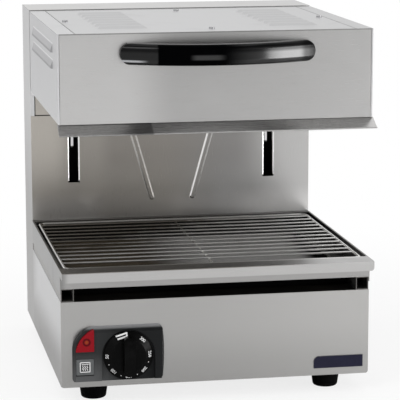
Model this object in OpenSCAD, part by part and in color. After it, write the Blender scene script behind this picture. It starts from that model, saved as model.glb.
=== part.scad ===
// Rise-and-fall salamander grill for melting cheese: a low housing with a wire grid, a column behind it,
// and a heated hood that slides on two guide rods in the column.
// Every module draws from the front panel's lower edge: X across, Y back, Z up.

/* [Casing] */
// Width across the casing
body_w = 450; // [430:5:600]
// Height of the lower housing
base_h = 125; // [118:1:150]
// Depth of the lower housing, from its front panel to the column
base_d = 378; // [350:1:450]
// Depth of the column
column_d = 108; // [108:1:140]
// Height of the column over the underside of the housing
column_h = 505; // [500:1:600]
// Thickness of the steel sheet
sheet = 1.2; // [0.8:0.1:1.6]
// Width of the folds along the edges of the sheets
fold_w = 12; // [10:1:14]
// Radius of the lower front corners
corner_r = 4; // [2:0.5:8]
// Open seam between two casing sheets
seam = 0.6; // [0.4:0.1:1]

/* [Feet] */
// Height of a foot
foot_h = 28; // [24:1:40]
// Diameter of a foot where it meets the floor plate
foot_top_d = 44; // [40:1:50]
// Diameter of a foot at its tip
foot_tip_d = 37; // [32:1:39]
// Radius of a foot's lower edge
foot_edge_r = 4; // [2:0.5:6]
// Distance of a foot's centre from the side
foot_inset_x = 52; // [40:1:80]
// Distance of a foot's centre from the front and the rear
foot_inset_y = 50; // [40:1:70]
// Diameter of the foot screws
foot_screw_d = 6; // [5:0.5:7]
// Depth of the recess for the screw head
foot_recess = 16; // [10:1:18]

/* [Rails and tray] */
// Width of a tray rail
rail_w = 18.5; // [14:0.5:24]
// Height of a tray rail, which is the height of the front slot
rail_h = 19; // [17:1:26]
// Step from the casing side in to the rail
rail_step = 0.6; // [0.4:0.1:1.5]
// Height of the drip tray
tray_h = 14; // [10:1:15]
// Length of the drip tray
tray_len = 318; // [260:1:325]
// Distance of the pushed-in tray behind the front panel
tray_setback = 46; // [30:1:50]
// Clearance between the tray and a rail
tray_gap = 0.8; // [0.5:0.1:1.5]

/* [Pan and grid] */
// Height of the pan over the rails
pan_h = 28; // [26:1:40]
// Height of the front lip
lip_h = 14; // [12:1:20]
// How far the front lip stands forward
lip_out = 26; // [15:1:35]
// Depth of the front rim behind the front panel
rim_d = 11; // [8:1:20]
// Depth of the rear rim
rear_rim = 10; // [8:1:20]
// Drop of the pan's skirt over the rails
skirt_drop = 7; // [4:1:12]
// Diameter of the grid's frame wire
frame_wire_d = 4; // [4:0.5:6]
// Diameter of the grid's cross wires
cross_wire_d = 3; // [2.5:0.5:4]
// Pitch of the cross wires
wire_pitch = 26; // [14:1:30]
// Distance from the front frame wire to the first cross wire
first_wire = 41; // [26:1:45]
// Bend radius of the frame wire at the corners
wire_bend_r = 9; // [7:1:16]
// Gap between the frame wire and the pan's side
grid_gap_x = 6.4; // [3:0.2:9]
// Gap between the frame wire and the pan's rims
grid_gap_y = 3; // [2:0.2:4]
// Depth of the grid's top below the pan's rim
grid_sink = 1; // [0.5:0.1:2]

/* [Column] */
// Height of the top edge of the column's front panel
panel_top = 339; // [320:1:350]
// Width of the strip that each column side folds round to the front
jamb_w = 6; // [5:0.5:8]
// Dark joint round the upper column plate
plate_joint = 1.5; // [1:0.1:2]
// Clear width of a column slot
slot_w = 14.2; // [12:0.2:18]
// Distance of a slot's centre from the casing's side
slot_inset = 67; // [60:1:75]
// Face width of the folded edge beside a slot
slot_edge = 2.2; // [1.6:0.1:3]
// Depth of the folded edge beside a slot
slot_edge_d = 8; // [6:0.5:10]
// Height of the relief cut below a folded edge
slot_relief = 3; // [2:0.5:5]
// Width of a pressed rib
rib_w = 8; // [6:0.5:10]
// Height of a pressed rib
rib_h = 1.5; // [1.3:0.1:2]
// Width of a pressed rib's slope
rib_slope = 1.8; // [1.2:0.1:2]
// Distance of a rib's lower end from the middle
rib_foot_x = 33; // [25:1:45]
// Distance of a rib's upper end from the middle
rib_head_x = 67; // [50:1:80]
// Height of a rib's lower end
rib_foot_z = 203; // [190:1:230]
// Distance of a rib's upper end below the panel's top edge
rib_head_drop = 17; // [12:1:40]

/* [Lift] */
// Travel of the hood
lift_travel = 150; // [100:5:150]
// Diameter of a guide rod
rod_d = 16; // [12:1:18]
// Distance of a guide rod's centre from the slot's centre
rod_step = 20; // [18:1:26]
// Running clearance of a bush on its rod, on the radius
rod_clear = 0.05; // [0.02:0.01:0.1]
// Wall of a bush
bush_wall = 3; // [2:0.5:4]
// Length of a bush
bush_len = 25; // [16:1:40]
// Height of a slider block
slider_h = 140; // [100:5:150]
// Height of a slider block's lower face with the hood up
slider_z = 300; // [290:1:310]
// Depth of a slider block
slider_d = 40; // [36:1:44]
// Height of the carriage bar
carriage_h = 60; // [50:2:70]
// Depth of the carriage bar's centre below the sliders' top
carriage_drop = 58; // [50:1:70]
// Thickness of a lift arm
arm_t = 4; // [3:0.5:6]
// Height of an arm's lower end with the hood up
arm_z = 283; // [270:1:290]
// Depth of an arm inside the column
arm_d = 64; // [56:1:66]
// Distance of an arm's front edge behind the column's front
arm_back = 20; // [16:1:24]
// Thickness of the crossbars that hold the rods
crossbar_t = 2.5; // [2:0.1:4]
// Depth of the crossbars
crossbar_d = 36; // [32:1:44]
// Height of the crossbars
crossbar_h = 20; // [16:1:24]
// Distance of a gas strut from the middle
strut_x = 70; // [55:1:90]
// Diameter of a strut's tube
strut_tube_d = 22; // [18:1:24]
// Diameter of a strut's rod
strut_rod_d = 8; // [6:0.5:10]
// Diameter of a strut's pins
strut_pin_d = 8; // [6:0.5:9]

/* [Hood] */
// Height of the hood's casing
hood_h = 126; // [115:1:140]
// How far the hood stands forward of the lower front panel
hood_proud = 5; // [0:0.5:15]
// Gap between the hood and the column
hood_gap = 6; // [5:0.5:9]
// Width of the fixed strips beside the top cover
top_strip = 24.4; // [18:0.2:30]
// Width of the fold that shows beside the front panel
front_fold = 2; // [1.5:0.1:4]
// Width of the ledges that carry the top cover
ledge_w = 18; // [16:1:24]
// Drop of the flared lip below the hood
flare_drop = 13; // [8:1:18]
// How far the flared lip stands forward of the hood
flare_out = 22; // [12:1:30]
// How far the flared lip stands out past each side
flare_side = 1.5; // [0:0.1:3]
// Thickness of the rolled hem along the flared lip
flare_hem = 2.2; // [1.8:0.1:3]
// Diameter of the casing screws
screw_d = 4; // [3:0.5:5]
// Length of the casing screws
screw_l = 9; // [7:0.5:12]
// Distance of the cover's side screws from the casing's side
cover_screw_inset = 33; // [31:1:39]
// Distance of the cover's front and rear screws from the hood's ends
cover_screw_y = 38; // [28:1:42]

/* [Louvres] */
// Number of louvres in each field of the top cover
top_louvres = 7; // [4:1:9]
// Length of a top louvre
top_louvre_l = 72; // [50:1:80]
// Pitch of the top louvres
top_louvre_pitch = 38; // [24:1:40]
// Distance of a field's centre from the casing's side
field_inset = 101; // [85:1:125]
// Width of a louvre in the top cover
top_louvre_w = 22; // [12:1:26]
// Height of a louvre in the top cover
top_louvre_h = 2.6; // [1.5:0.1:4]
// Length of a side louvre
side_louvre_l = 262; // [180:1:290]
// Width of a side louvre
side_louvre_w = 13; // [10:1:18]
// Height of a side louvre
side_louvre_h = 3; // [2:0.1:5]
// Depth of the upper side louvre below the hood's top
side_louvre_drop = 31; // [26:1:36]
// Pitch of the side louvres
side_louvre_pitch = 23; // [20:1:30]
// Flat crown behind a louvre's mouth, as a share of its width
louvre_crown = 0.25; // [0.1:0.05:0.5]
// Length of the slope at each end of a louvre
louvre_end = 5; // [3:0.5:10]

/* [Heater] */
// Diameter of a heating tube
tube_d = 8; // [6:0.5:10]
// Pitch of the heating tube's runs
run_pitch = 40; // [30:1:40]
// Height of the tubes over the hood's lower edge
tube_rise = 21; // [16:1:24]
// Height of the reflector over the hood's lower edge
reflector_rise = 40; // [34:1:50]
// Distance of the reflector's sides from the casing
reflector_inset = 30; // [26:1:40]
// Thickness of the insulation
insulation_t = 25; // [15:1:35]
// Thickness of a tube support
support_t = 2; // [1.5:0.1:3]
// Distance between the tube supports
support_pitch = 110; // [90:1:125]
// Clearance of a tube in its support, on the radius
tube_clear = 0.3; // [0.1:0.1:0.5]

/* [Handle] */
// Length of the handle
handle_l = 278; // [220:1:320]
// Height of the handle
handle_h = 30; // [24:1:36]
// How far the handle's middle stands forward of the hood
handle_reach = 48; // [40:1:60]
// Thickness of the handle at its middle
handle_t = 14; // [10:1:18]
// Thickness of the handle's ends
handle_end_t = 8; // [5:0.5:10]
// Length of the solid foot at each end
handle_foot = 31; // [26:1:40]
// Height of the handle's middle below the hood's top
handle_drop = 28.5; // [24:0.5:40]
// Radius of the handle's outer edges
handle_edge_r = 8; // [3:0.5:10]
// Diameter of the handle screws
handle_screw_d = 6; // [5:0.5:6]
// Length of the handle screws
handle_screw_l = 13; // [11:0.5:15]
// Distance of a handle screw from the handle's end
handle_screw_inset = 22; // [18:1:24]

/* [Controls] */
// Width of the control bezel
bezel_w = 128; // [120:1:140]
// Height of the control bezel
bezel_h = 80.5; // [78:0.5:90]
// Thickness of the control bezel
bezel_t = 10; // [8:0.5:14]
// Distance of the bezel from the casing side
bezel_inset = 15.5; // [10:0.5:40]
// Distance of the bezel from the casing's lower edge
bezel_lift = 8.5; // [6:0.5:20]
// Radius of the bezel's upper left corner
bezel_corner = 34; // [24:1:38]
// Radius of the bezel's other corners
bezel_edge_r = 5; // [2:0.5:8]
// Bulge of the bezel's right side
bezel_bulge = 4.5; // [0:0.5:6]
// Width of the bevel round the bezel
bezel_bevel = 4; // [2:0.5:5]
// Thickness of the bezel's floor under the knob
dial_floor = 4; // [3:0.5:5]
// Diameter of the knob
knob_d = 71; // [60:1:73]
// Clearance between the knob and the bezel
knob_gap = 3; // [1:0.1:4]
// Distance of the knob's centre from the bezel's left side
knob_inset = 79.5; // [79:0.5:84]
// Height of the knob's centre over the bezel's lower edge
knob_rise = 37; // [32:0.5:38]
// Thickness of the knob's skirt
skirt_t = 8; // [6:0.5:10]
// Width of the knob's grip
grip_w = 16; // [12:0.5:20]
// Length of the knob's grip
grip_l = 58; // [46:1:60]
// Height of the grip over the skirt
grip_h = 15; // [12:0.5:20]
// Diameter of the control's spindle
spindle_d = 6; // [5:0.5:6]
// Clearance of the spindle in its bush, on the radius
spindle_clear = 0.05; // [0.02:0.01:0.1]
// Width of the pilot lens
lens_w = 26; // [20:0.5:27]
// Height of the pilot lens
lens_h = 31.5; // [24:0.5:32]
// Wall of the pilot lens
lens_wall = 2; // [1.5:0.1:3]
// Distance of the lens's right side from the bezel's left side
lens_right = 30; // [28:0.5:34]
// Height of the lens's lower edge over the bezel's lower edge
lens_rise = 46; // [42:0.5:47]
// Width of the symbol tile
tile_w = 25; // [18:0.5:26]
// Height of the symbol tile
tile_h = 23; // [18:0.5:26]
// Height of the symbol tile over the bezel's lower edge
tile_rise = 12; // [8:0.5:14]
// Width of the blank badge
badge_w = 73; // [50:1:90]
// Height of the blank badge
badge_h = 17.5; // [12:0.5:24]

/* [Rear] */
// Bore of the cable gland
gland_bore = 10; // [8:0.5:12]
// How far the cable gland stands out of the rear cover
gland_out = 16; // [12:1:24]
// Distance of the gland from the casing's side
gland_inset = 75; // [55:1:105]
// Height of the gland
gland_z = 60; // [45:1:90]
// Length of a vent slot in the rear cover
vent_l = 44; // [30:1:60]
// Width of a vent slot in the rear cover
vent_w = 5; // [4:0.5:6]
// Height of the lower row of vents
vent_z = 110; // [90:1:150]
// Distance of the upper row of vents below the column's top
vent_drop = 90; // [80:1:120]
// Distance from the gland to the terminal block
block_step = 60; // [56:1:80]

/* [Hidden] */

w2 = body_w / 2;
in_w = w2 - sheet;
total_d = base_d + column_d;
front_reach = hood_proud + handle_reach;
rear_reach = total_d + gland_out;
front_y = (front_reach - rear_reach) / 2;
touch = 0.3;
cut = 1;
fine = 48;

rail_in = w2 - rail_step - rail_w;
pan_z0 = base_h + rail_h;
pan_z1 = pan_z0 + pan_h;
pan_w2 = w2 + rail_step;
pan_d = base_d - 2;
pan_fold = rail_w + rail_step;
lip_z0 = pan_z1 - lip_h;
frame_r = frame_wire_d / 2;
cross_r = cross_wire_d / 2;
grid_w2 = pan_w2 - sheet - grid_gap_x - frame_r;
grid_y0 = rim_d + grid_gap_y + frame_r;
grid_y1 = pan_d - rear_rim - grid_gap_y - frame_r;
grid_z = pan_z1 - grid_sink - frame_r;
ledge_z = grid_z - frame_r - touch;
weld = 0.5;
cross_count = floor((grid_y1 - grid_y0 - first_wire - wire_pitch / 2) / wire_pitch) + 1;

slot_end_clear = 7;
slot_x = w2 - slot_inset;
hood_z1 = column_h;
hood_z0 = hood_z1 - hood_h;
hood_rear = base_d - hood_gap;
tongue_z0 = hood_z0 + 9;
tongue_z1 = hood_z1 - 35;
slot_z0 = tongue_z0 - lift_travel - slot_end_clear;
slot_z1 = tongue_z1 + slot_end_clear;
slot_cut = slot_w + 2 * slot_edge;
rib_wall = sheet * 0.8;
shear_gap = 0.4;

rod_y = base_d + 52;
rod_x = slot_x - rod_step;
bush_r = rod_d / 2 + rod_clear + bush_wall;
slider_x0 = rod_x - (rod_step - arm_t / 2);
carriage_z = slider_z + slider_h - carriage_drop;
strut_z0 = sheet + crossbar_h + 9;
strut_tube_z0 = strut_z0 + 10;
strut_tube_l = lift_travel + 25;
strut_tube_z1 = strut_tube_z0 + strut_tube_l;
eye_r = strut_pin_d / 2 + 4;
eye_t = 10;
ear_t = 3;
strut_wall = 2;
piston_l = 10;
carriage_t = 4;

refl_w2 = w2 - reflector_inset;
refl_z = hood_z0 + reflector_rise;
refl_y0 = 14;
refl_y1 = hood_rear - 14;
tube_r = tube_d / 2;
tube_z = hood_z0 + tube_rise;
runs = 4;
run_y0 = (refl_y0 + refl_y1) / 2 - (2 * runs - 1) * run_pitch / 2;
bend_left = -(refl_w2 - 45);
bend_right = refl_w2 - 55;
bead_r = tube_r + 2.5;
bead_l = 10;

knob_x = -w2 + bezel_inset + knob_inset;
knob_z = bezel_lift + knob_rise;
knob_back = -dial_floor - touch;
bezel_x0 = -w2 + bezel_inset;
bezel_x1 = bezel_x0 + bezel_w;
bezel_z1 = bezel_lift + bezel_h;
lens_x = bezel_x0 + lens_right;
lens_z = bezel_lift + lens_rise;
lens_arc_r = 40;
tile_x1 = lens_x - (lens_w - tile_w) / 2;
tile_z0 = bezel_lift + tile_rise;
tile_sink = 2;
gland_x = w2 - gland_inset;
bush_out_d = 10;
badge_x = w2 - 45;
badge_z = 19.5;
bezel_z0 = bezel_lift;

// ---------- shared shapes ----------

// A box between two opposite corners
module box(low, high) {
    translate(low) cube(high - low);
}

// A drawing in X and Z, extruded between two places along Y
module along_y(y0, y1) {
    translate([0, y1, 0]) rotate([90, 0, 0]) linear_extrude(y1 - y0) children();
}

// A drawing in Y and Z, extruded between two places along X
module along_x(x0, x1) {
    translate([x0, 0, 0]) rotate([90, 0, 90]) linear_extrude(x1 - x0) children();
}

// A rectangle between two opposite corners
module area(low, high) {
    translate(low) square(high - low);
}

// A rectangle with round corners
module round_area(low, high, r) {
    area(low + [r, 0], high - [r, 0]);
    area(low + [0, r], high - [0, r]);
    for (x = [low[0] + r, high[0] - r], y = [low[1] + r, high[1] - r])
        translate([x, y]) circle(r, $fn = fine);
}

// A straight strip of sheet from p to q, with its thickness to the left of the way
module strip(p, q, t) {
    way = (q - p) / norm(q - p);
    side = [-way[1], way[0]] * t;
    polygon([p, q, q + side, p + side]);
}

// The same shape on both sides of the middle
module both() {
    children();
    mirror([1, 0, 0]) children();
}

// A rod along Y
module pin_y(x, z, r, y0, y1) {
    translate([x, y1, z]) rotate([90, 0, 0]) cylinder(r = r, h = y1 - y0, $fn = fine);
}

// A rod along X
module pin_x(y, z, r, x0, x1) {
    translate([x0, y, z]) rotate([0, 90, 0]) cylinder(r = r, h = x1 - x0, $fn = fine);
}

// Places the object with its origin under the middle of its whole depth
module placed() {
    translate([0, front_y, foot_h]) children();
}

// The outside or the hollow of a louvre pressed up from the plane Z = 0: from its mouth it slopes down to Y = w
module louvre_form(l, w, h, crown_w, end, mouth_y, foot) {
    intersection() {
        along_x(-l / 2, l / 2) polygon([[mouth_y, -foot], [mouth_y, h], [crown_w, h], [w, 0], [w, -foot]]);
        along_y(mouth_y, w) polygon([
            [-l / 2, -foot], [-l / 2, 0], [-l / 2 + end, h], [l / 2 - end, h], [l / 2, 0], [l / 2, -foot],
        ]);
    }
}

module louvre(l, w, h) {
    louvre_form(l, w, h, w * louvre_crown, louvre_end, 0, sheet / 2);
}

// How far the inside of a slope ends short of its outside, for a sheet of even thickness
function slope_root(run, h) = sheet / sin(atan2(h, run));

module louvre_hollow(l, w, h) {
    run = w * (1 - louvre_crown);
    inner_l = l - 2 * slope_root(louvre_end, h);
    inner_w = w - slope_root(run, h);
    inside = (h - sheet) / h;
    louvre_form(inner_l, inner_w, h - sheet, inner_w - run * inside, louvre_end * inside, -shear_gap, sheet + cut);
}

// A pan-head screw with its head's seat at the origin and its shank along +Y
module screw_y(d, length) {
    pin_y(0, 0, d / 2, 0, length);
    pin_y(0, 0, d, -d * 0.55, 0);
}

// ---------- lower housing ----------

foot_places = [
    [-w2 + foot_inset_x, foot_inset_y], [w2 - foot_inset_x, foot_inset_y],
    [-w2 + foot_inset_x, total_d - foot_inset_y], [w2 - foot_inset_x, total_d - foot_inset_y],
];
floor_vent_pitch = 14;

module base_floor() {
    color("silver") placed() difference() {
        union() {
            box([-in_w, sheet, 0], [in_w, total_d - sheet, sheet]);
            both() box([in_w - sheet, sheet, 0], [in_w, total_d - sheet, fold_w]);
            for (y = [sheet, total_d - 2 * sheet]) box([-in_w, y, 0], [in_w, y + sheet, fold_w]);
        }
        for (p = foot_places)
            translate([p[0], p[1], -cut]) cylinder(d = foot_screw_d + 0.6, h = sheet + 2 * cut, $fn = fine);
        translate([0, 0, -cut]) linear_extrude(sheet + 2 * cut)
            for (i = [-4:4]) round_area(
                [i * floor_vent_pitch - vent_w / 2, base_d / 2 - vent_l],
                [i * floor_vent_pitch + vent_w / 2, base_d / 2], vent_w / 2 - 0.01);
    }
}

module base_front_panel() {
    color("lightgray") placed() difference() {
        along_y(0, sheet) {
            area([-w2, corner_r], [w2, base_h]);
            area([-w2 + corner_r, 0], [w2 - corner_r, base_h]);
            both() translate([w2 - corner_r, corner_r]) circle(corner_r, $fn = fine);
        }
        pin_y(knob_x, knob_z, bush_out_d / 2 + 0.2, -cut, sheet + cut);
        pin_y(lens_x - lens_w / 3, lens_z + lens_h / 3, lamp_d / 2 + 0.2, -cut, sheet + cut);
    }
}

module base_side() {
    along_x(-w2, -in_w) {
        area([sheet, corner_r], [base_d + sheet, base_h]);
        area([sheet + corner_r, 0], [base_d + sheet, base_h]);
        translate([sheet + corner_r, corner_r]) circle(corner_r, $fn = fine);
    }
}

module base_side_left() {
    color("lightgray") placed() base_side();
}

module base_side_right() {
    color("lightgray") placed() mirror([1, 0, 0]) base_side();
}

module base_deck() {
    color("gray") placed() {
        box([-in_w, sheet, base_h - sheet], [in_w, base_d, base_h]);
        both() box([in_w - sheet, sheet, base_h - fold_w], [in_w, base_d, base_h]);
        for (y = [sheet, base_d - sheet]) box([-in_w, y, base_h - fold_w], [in_w, y + sheet, base_h]);
    }
}

module foot(p) {
    tip_r = foot_tip_d / 2;
    color([0.06, 0.06, 0.06]) placed() translate([p[0], p[1], 0]) difference() {
        rotate_extrude($fn = fine) {
            polygon([[0, 0], [foot_top_d / 2, 0], [tip_r, -foot_h + foot_edge_r], [0, -foot_h + foot_edge_r]]);
            area([0, -foot_h], [tip_r - foot_edge_r, -foot_h + foot_edge_r]);
            intersection() {
                translate([tip_r - foot_edge_r, -foot_h + foot_edge_r]) circle(foot_edge_r, $fn = fine);
                area([0, -foot_h], [foot_top_d, -foot_h + foot_edge_r + 0.01]);
            }
        }
        translate([0, 0, -foot_h - cut]) cylinder(r = foot_screw_d * 1.3, h = foot_recess + cut, $fn = fine);
        translate([0, 0, -foot_h]) cylinder(d = foot_screw_d + 0.6, h = foot_h + cut, $fn = fine);
    }
}

module foot_front_left() {
    foot(foot_places[0]);
}

module foot_front_right() {
    foot(foot_places[1]);
}

module foot_rear_left() {
    foot(foot_places[2]);
}

module foot_rear_right() {
    foot(foot_places[3]);
}

module foot_screws() {
    seat = -foot_h + foot_recess;
    nut_h = foot_screw_d * 0.8;
    color("dimgray") placed() for (p = foot_places) translate([p[0], p[1], 0]) {
        translate([0, 0, seat - foot_screw_d * 0.6]) cylinder(r = foot_screw_d, h = foot_screw_d * 0.6, $fn = fine);
        translate([0, 0, seat - 1]) cylinder(d = foot_screw_d, h = sheet + nut_h + 3 - seat, $fn = fine);
        translate([0, 0, sheet]) cylinder(r = foot_screw_d, h = nut_h, $fn = 6);
    }
}

module tray_rail() {
    along_y(sheet, base_d - 4) difference() {
        area([-w2 + rail_step, base_h], [-rail_in, pan_z0]);
        area([-w2 + rail_step + sheet, base_h + sheet], [-rail_in - sheet, pan_z0 - sheet]);
    }
}

module tray_rail_left() {
    color("silver") placed() tray_rail();
}

module tray_rail_right() {
    color("silver") placed() mirror([1, 0, 0]) tray_rail();
}

module drip_tray() {
    tw = rail_in - tray_gap;
    z0 = base_h + touch;
    y1 = tray_setback + tray_len;
    pull_d = 9;
    color([0.12, 0.12, 0.13]) placed() {
        difference() {
            box([-tw, tray_setback, z0], [tw, y1, z0 + tray_h]);
            box([-tw + sheet, tray_setback + sheet, z0 + sheet], [tw - sheet, y1 - sheet, z0 + tray_h + cut]);
        }
        box([-tw, tray_setback - pull_d, z0 + tray_h - sheet], [tw, tray_setback + sheet, z0 + tray_h]);
        pin_x(tray_setback - pull_d, z0 + tray_h - 1.5, 1.5, -tw, tw);
    }
}

// ---------- pan and grid ----------

module pan_front_profile() {
    area([-lip_out, pan_z1 - sheet], [rim_d, pan_z1]);
    area([-lip_out, lip_z0], [-lip_out + sheet, pan_z1]);
    area([-lip_out, lip_z0], [sheet, lip_z0 + sheet]);
    area([0, pan_z0], [sheet, lip_z0 + sheet]);
    area([0, pan_z0], [pan_fold, pan_z0 + sheet]);
    area([rim_d - sheet, ledge_z - sheet], [rim_d, pan_z1]);
    area([rim_d - sheet, ledge_z - sheet], [grid_y0 + 0.7, ledge_z]);
}

module pan_rear_profile() {
    rim_y = pan_d - rear_rim;
    area([pan_d - sheet, pan_z0], [pan_d, pan_z1]);
    area([rim_y, pan_z1 - sheet], [pan_d, pan_z1]);
    area([rim_y, ledge_z - sheet], [rim_y + sheet, pan_z1]);
    area([grid_y1 - 0.7, ledge_z - sheet], [rim_y + sheet, ledge_z]);
    area([pan_d - pan_fold, pan_z0], [pan_d, pan_z0 + sheet]);
}

module lip_end() {
    area([-lip_out, lip_z0], [sheet, pan_z1]);
}

// What is cut off a lower corner of the lip to round it
module lip_corner(r) {
    difference() {
        area([pan_w2 - r, lip_z0 - cut], [pan_w2 + cut, lip_z0 + r]);
        translate([pan_w2 - r, lip_z0 + r]) circle(r, $fn = fine);
    }
}

module top_pan() {
    lip_corner_r = 5;
    hem_h = 5;
    color("lightgray") placed() {
        difference() {
            union() {
                along_x(-pan_w2, pan_w2) pan_front_profile();
                both() along_x(pan_w2 - sheet, pan_w2) lip_end();
            }
            both() along_y(-lip_out - cut, 0) lip_corner(lip_corner_r);
        }
        along_x(-pan_w2, pan_w2) pan_rear_profile();
        both() {
            along_x(pan_w2 - sheet, pan_w2) area([0, pan_z0 - skirt_drop], [pan_d, pan_z1]);
            box([pan_w2 - 2 * sheet, 0, pan_z1 - hem_h], [pan_w2, pan_d, pan_z1]);
            box([rail_in, 0, pan_z0], [pan_w2, pan_d, pan_z0 + sheet]);
        }
    }
}

module grid_corner(x, y, turn) {
    translate([x, y, grid_z]) rotate([0, 0, turn]) rotate_extrude(angle = 90, $fn = fine)
        translate([wire_bend_r, 0]) circle(frame_r, $fn = 24);
}

module wire_grid() {
    x = grid_w2 - wire_bend_r;
    y0 = grid_y0 + wire_bend_r;
    y1 = grid_y1 - wire_bend_r;
    cross_z = grid_z + frame_r - cross_r - weld / 2;
    support_z = cross_z - 2 * cross_r + weld;
    color([0.75, 0.75, 0.75]) placed() {
        for (y = [grid_y0, grid_y1]) pin_x(y, grid_z, frame_r, -x, x);
        for (s = [-1, 1]) pin_y(s * grid_w2, grid_z, frame_r, y0, y1);
        grid_corner(x, y1, 0);
        grid_corner(-x, y1, 90);
        grid_corner(-x, y0, 180);
        grid_corner(x, y0, 270);
        for (i = [0:cross_count - 1])
            pin_x(grid_y0 + first_wire + i * wire_pitch, cross_z, cross_r, -grid_w2, grid_w2);
        pin_y(0, support_z, cross_r, grid_y0 + frame_r - 1, grid_y1 - frame_r + 1);
    }
}

// ---------- controls ----------

lamp_d = 9;

// The face of the bezel: a large upper left corner, small other corners and a bulging right side
module bezel_outline() {
    r = bezel_edge_r;
    big = bezel_corner;
    mid_z = (bezel_z0 + bezel_z1) / 2;
    bulge_r = (pow(bezel_h / 2, 2) + pow(bezel_bulge, 2)) / (2 * bezel_bulge + 0.001);
    area([bezel_x0, bezel_z0 + r], [bezel_x1 - r, bezel_z1 - big]);
    area([bezel_x0 + big, bezel_z0], [bezel_x1 - r, bezel_z1]);
    area([bezel_x0 + r, bezel_z0], [bezel_x0 + big, bezel_z0 + 2 * r]);
    area([bezel_x1 - r - cut, bezel_z0 + r], [bezel_x1, bezel_z1 - r]);
    translate([bezel_x0 + big, bezel_z1 - big]) circle(big, $fn = 96);
    translate([bezel_x0 + r, bezel_z0 + r]) circle(r, $fn = fine);
    for (z = [bezel_z0 + r, bezel_z1 - r]) translate([bezel_x1 - r, z]) circle(r, $fn = fine);
    intersection() {
        translate([bezel_x1 + bezel_bulge - bulge_r, mid_z]) circle(bulge_r, $fn = 96);
        area([bezel_x1 - cut, bezel_z0 + r], [bezel_x1 + bezel_bulge, bezel_z1 - r]);
    }
}

module lens_outline(grow) {
    intersection() {
        area([lens_x - lens_w - grow, lens_z - grow], [lens_x + grow, lens_z + lens_h + grow]);
        translate([lens_x + 13.3, lens_z - 5.5]) circle(lens_arc_r + grow, $fn = 96);
    }
}

module control_bezel() {
    right = bezel_x1 + bezel_bulge;
    dial_r = knob_d / 2 + knob_gap;
    color([0.2, 0.21, 0.22]) placed() difference() {
        intersection() {
            along_y(-bezel_t, 0) bezel_outline();
            along_x(bezel_x0, right) polygon([
                [0, bezel_z0], [-bezel_t, bezel_z0 + bezel_bevel / 2],
                [-bezel_t, bezel_z1 - bezel_bevel * 2], [-bezel_t / 2, bezel_z1 - bezel_bevel / 2], [0, bezel_z1],
            ]);
            translate([0, 0, bezel_z0]) linear_extrude(bezel_h) polygon([
                [bezel_x0, 0], [bezel_x0 + bezel_bevel, -bezel_t],
                [right - bezel_bevel, -bezel_t], [right, 0],
            ]);
        }
        along_y(-bezel_t - cut, -dial_floor) {
            translate([knob_x, knob_z]) circle(dial_r, $fn = 96);
            area([knob_x - dial_r, bezel_z0 - cut], [knob_x + dial_r, knob_z]);
        }
        pin_y(knob_x, knob_z, bush_out_d / 2 + 1, -bezel_t, cut);
        along_y(-bezel_t - cut, cut) lens_outline(touch);
        along_y(-bezel_t - cut, -bezel_t + tile_sink)
            area([tile_x1 - tile_w - touch, tile_z0 - touch], [tile_x1 + touch, tile_z0 + tile_h + touch]);
    }
}

module pilot_lens() {
    proud = 2.5;
    color([0.75, 0.05, 0.08]) placed() difference() {
        along_y(-bezel_t - proud, 0) lens_outline(0);
        along_y(-bezel_t - proud + lens_wall, cut) lens_outline(-lens_wall);
    }
}

module pilot_lamp() {
    color("orange") placed()
        pin_y(lens_x - lens_w / 3, lens_z + lens_h / 3, lamp_d / 2, -bezel_t / 2, 24);
}

module symbol_tile() {
    tile_t = 2.8;
    color([0.16, 0.16, 0.17]) placed() along_y(-bezel_t + tile_sink - tile_t, -bezel_t + tile_sink)
        round_area([tile_x1 - tile_w, tile_z0], [tile_x1, tile_z0 + tile_h], 1.5);
}

module blank_badge() {
    badge_t = 1.6;
    cut_r = badge_h * 0.45;
    x0 = badge_x - badge_w / 2;
    color([0.15, 0.17, 0.3]) placed() along_y(-badge_t, 0) {
        area([x0, badge_z - badge_h / 2], [x0 + badge_w, badge_z + badge_h / 2 - cut_r]);
        area([x0 + cut_r, badge_z - badge_h / 2], [x0 + badge_w, badge_z + badge_h / 2]);
        translate([x0 + cut_r, badge_z + badge_h / 2 - cut_r]) circle(cut_r, $fn = fine);
    }
}

module heat_control() {
    half_w = 22;
    half_h = 19;
    body_l = 32;
    nut_t = 2;
    color("ivory") placed() difference() {
        union() {
            box([knob_x - half_w, sheet, knob_z - half_h], [knob_x + half_w, sheet + body_l, knob_z + half_h]);
            pin_y(knob_x, knob_z, bush_out_d / 2, -nut_t, sheet + cut);
            for (i = [-1:1]) box(
                [knob_x + i * 12 - 3, sheet + body_l, knob_z - 4],
                [knob_x + i * 12 + 3, sheet + body_l + 8, knob_z - 3]);
        }
        pin_y(knob_x, knob_z, spindle_d / 2 + spindle_clear, -nut_t - cut, sheet + 20);
    }
}

spindle_front = knob_back - skirt_t - grip_h + 6;

module knob_spindle() {
    color("silver") placed() pin_y(knob_x, knob_z, spindle_d / 2, spindle_front, sheet + 16);
}

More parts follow.
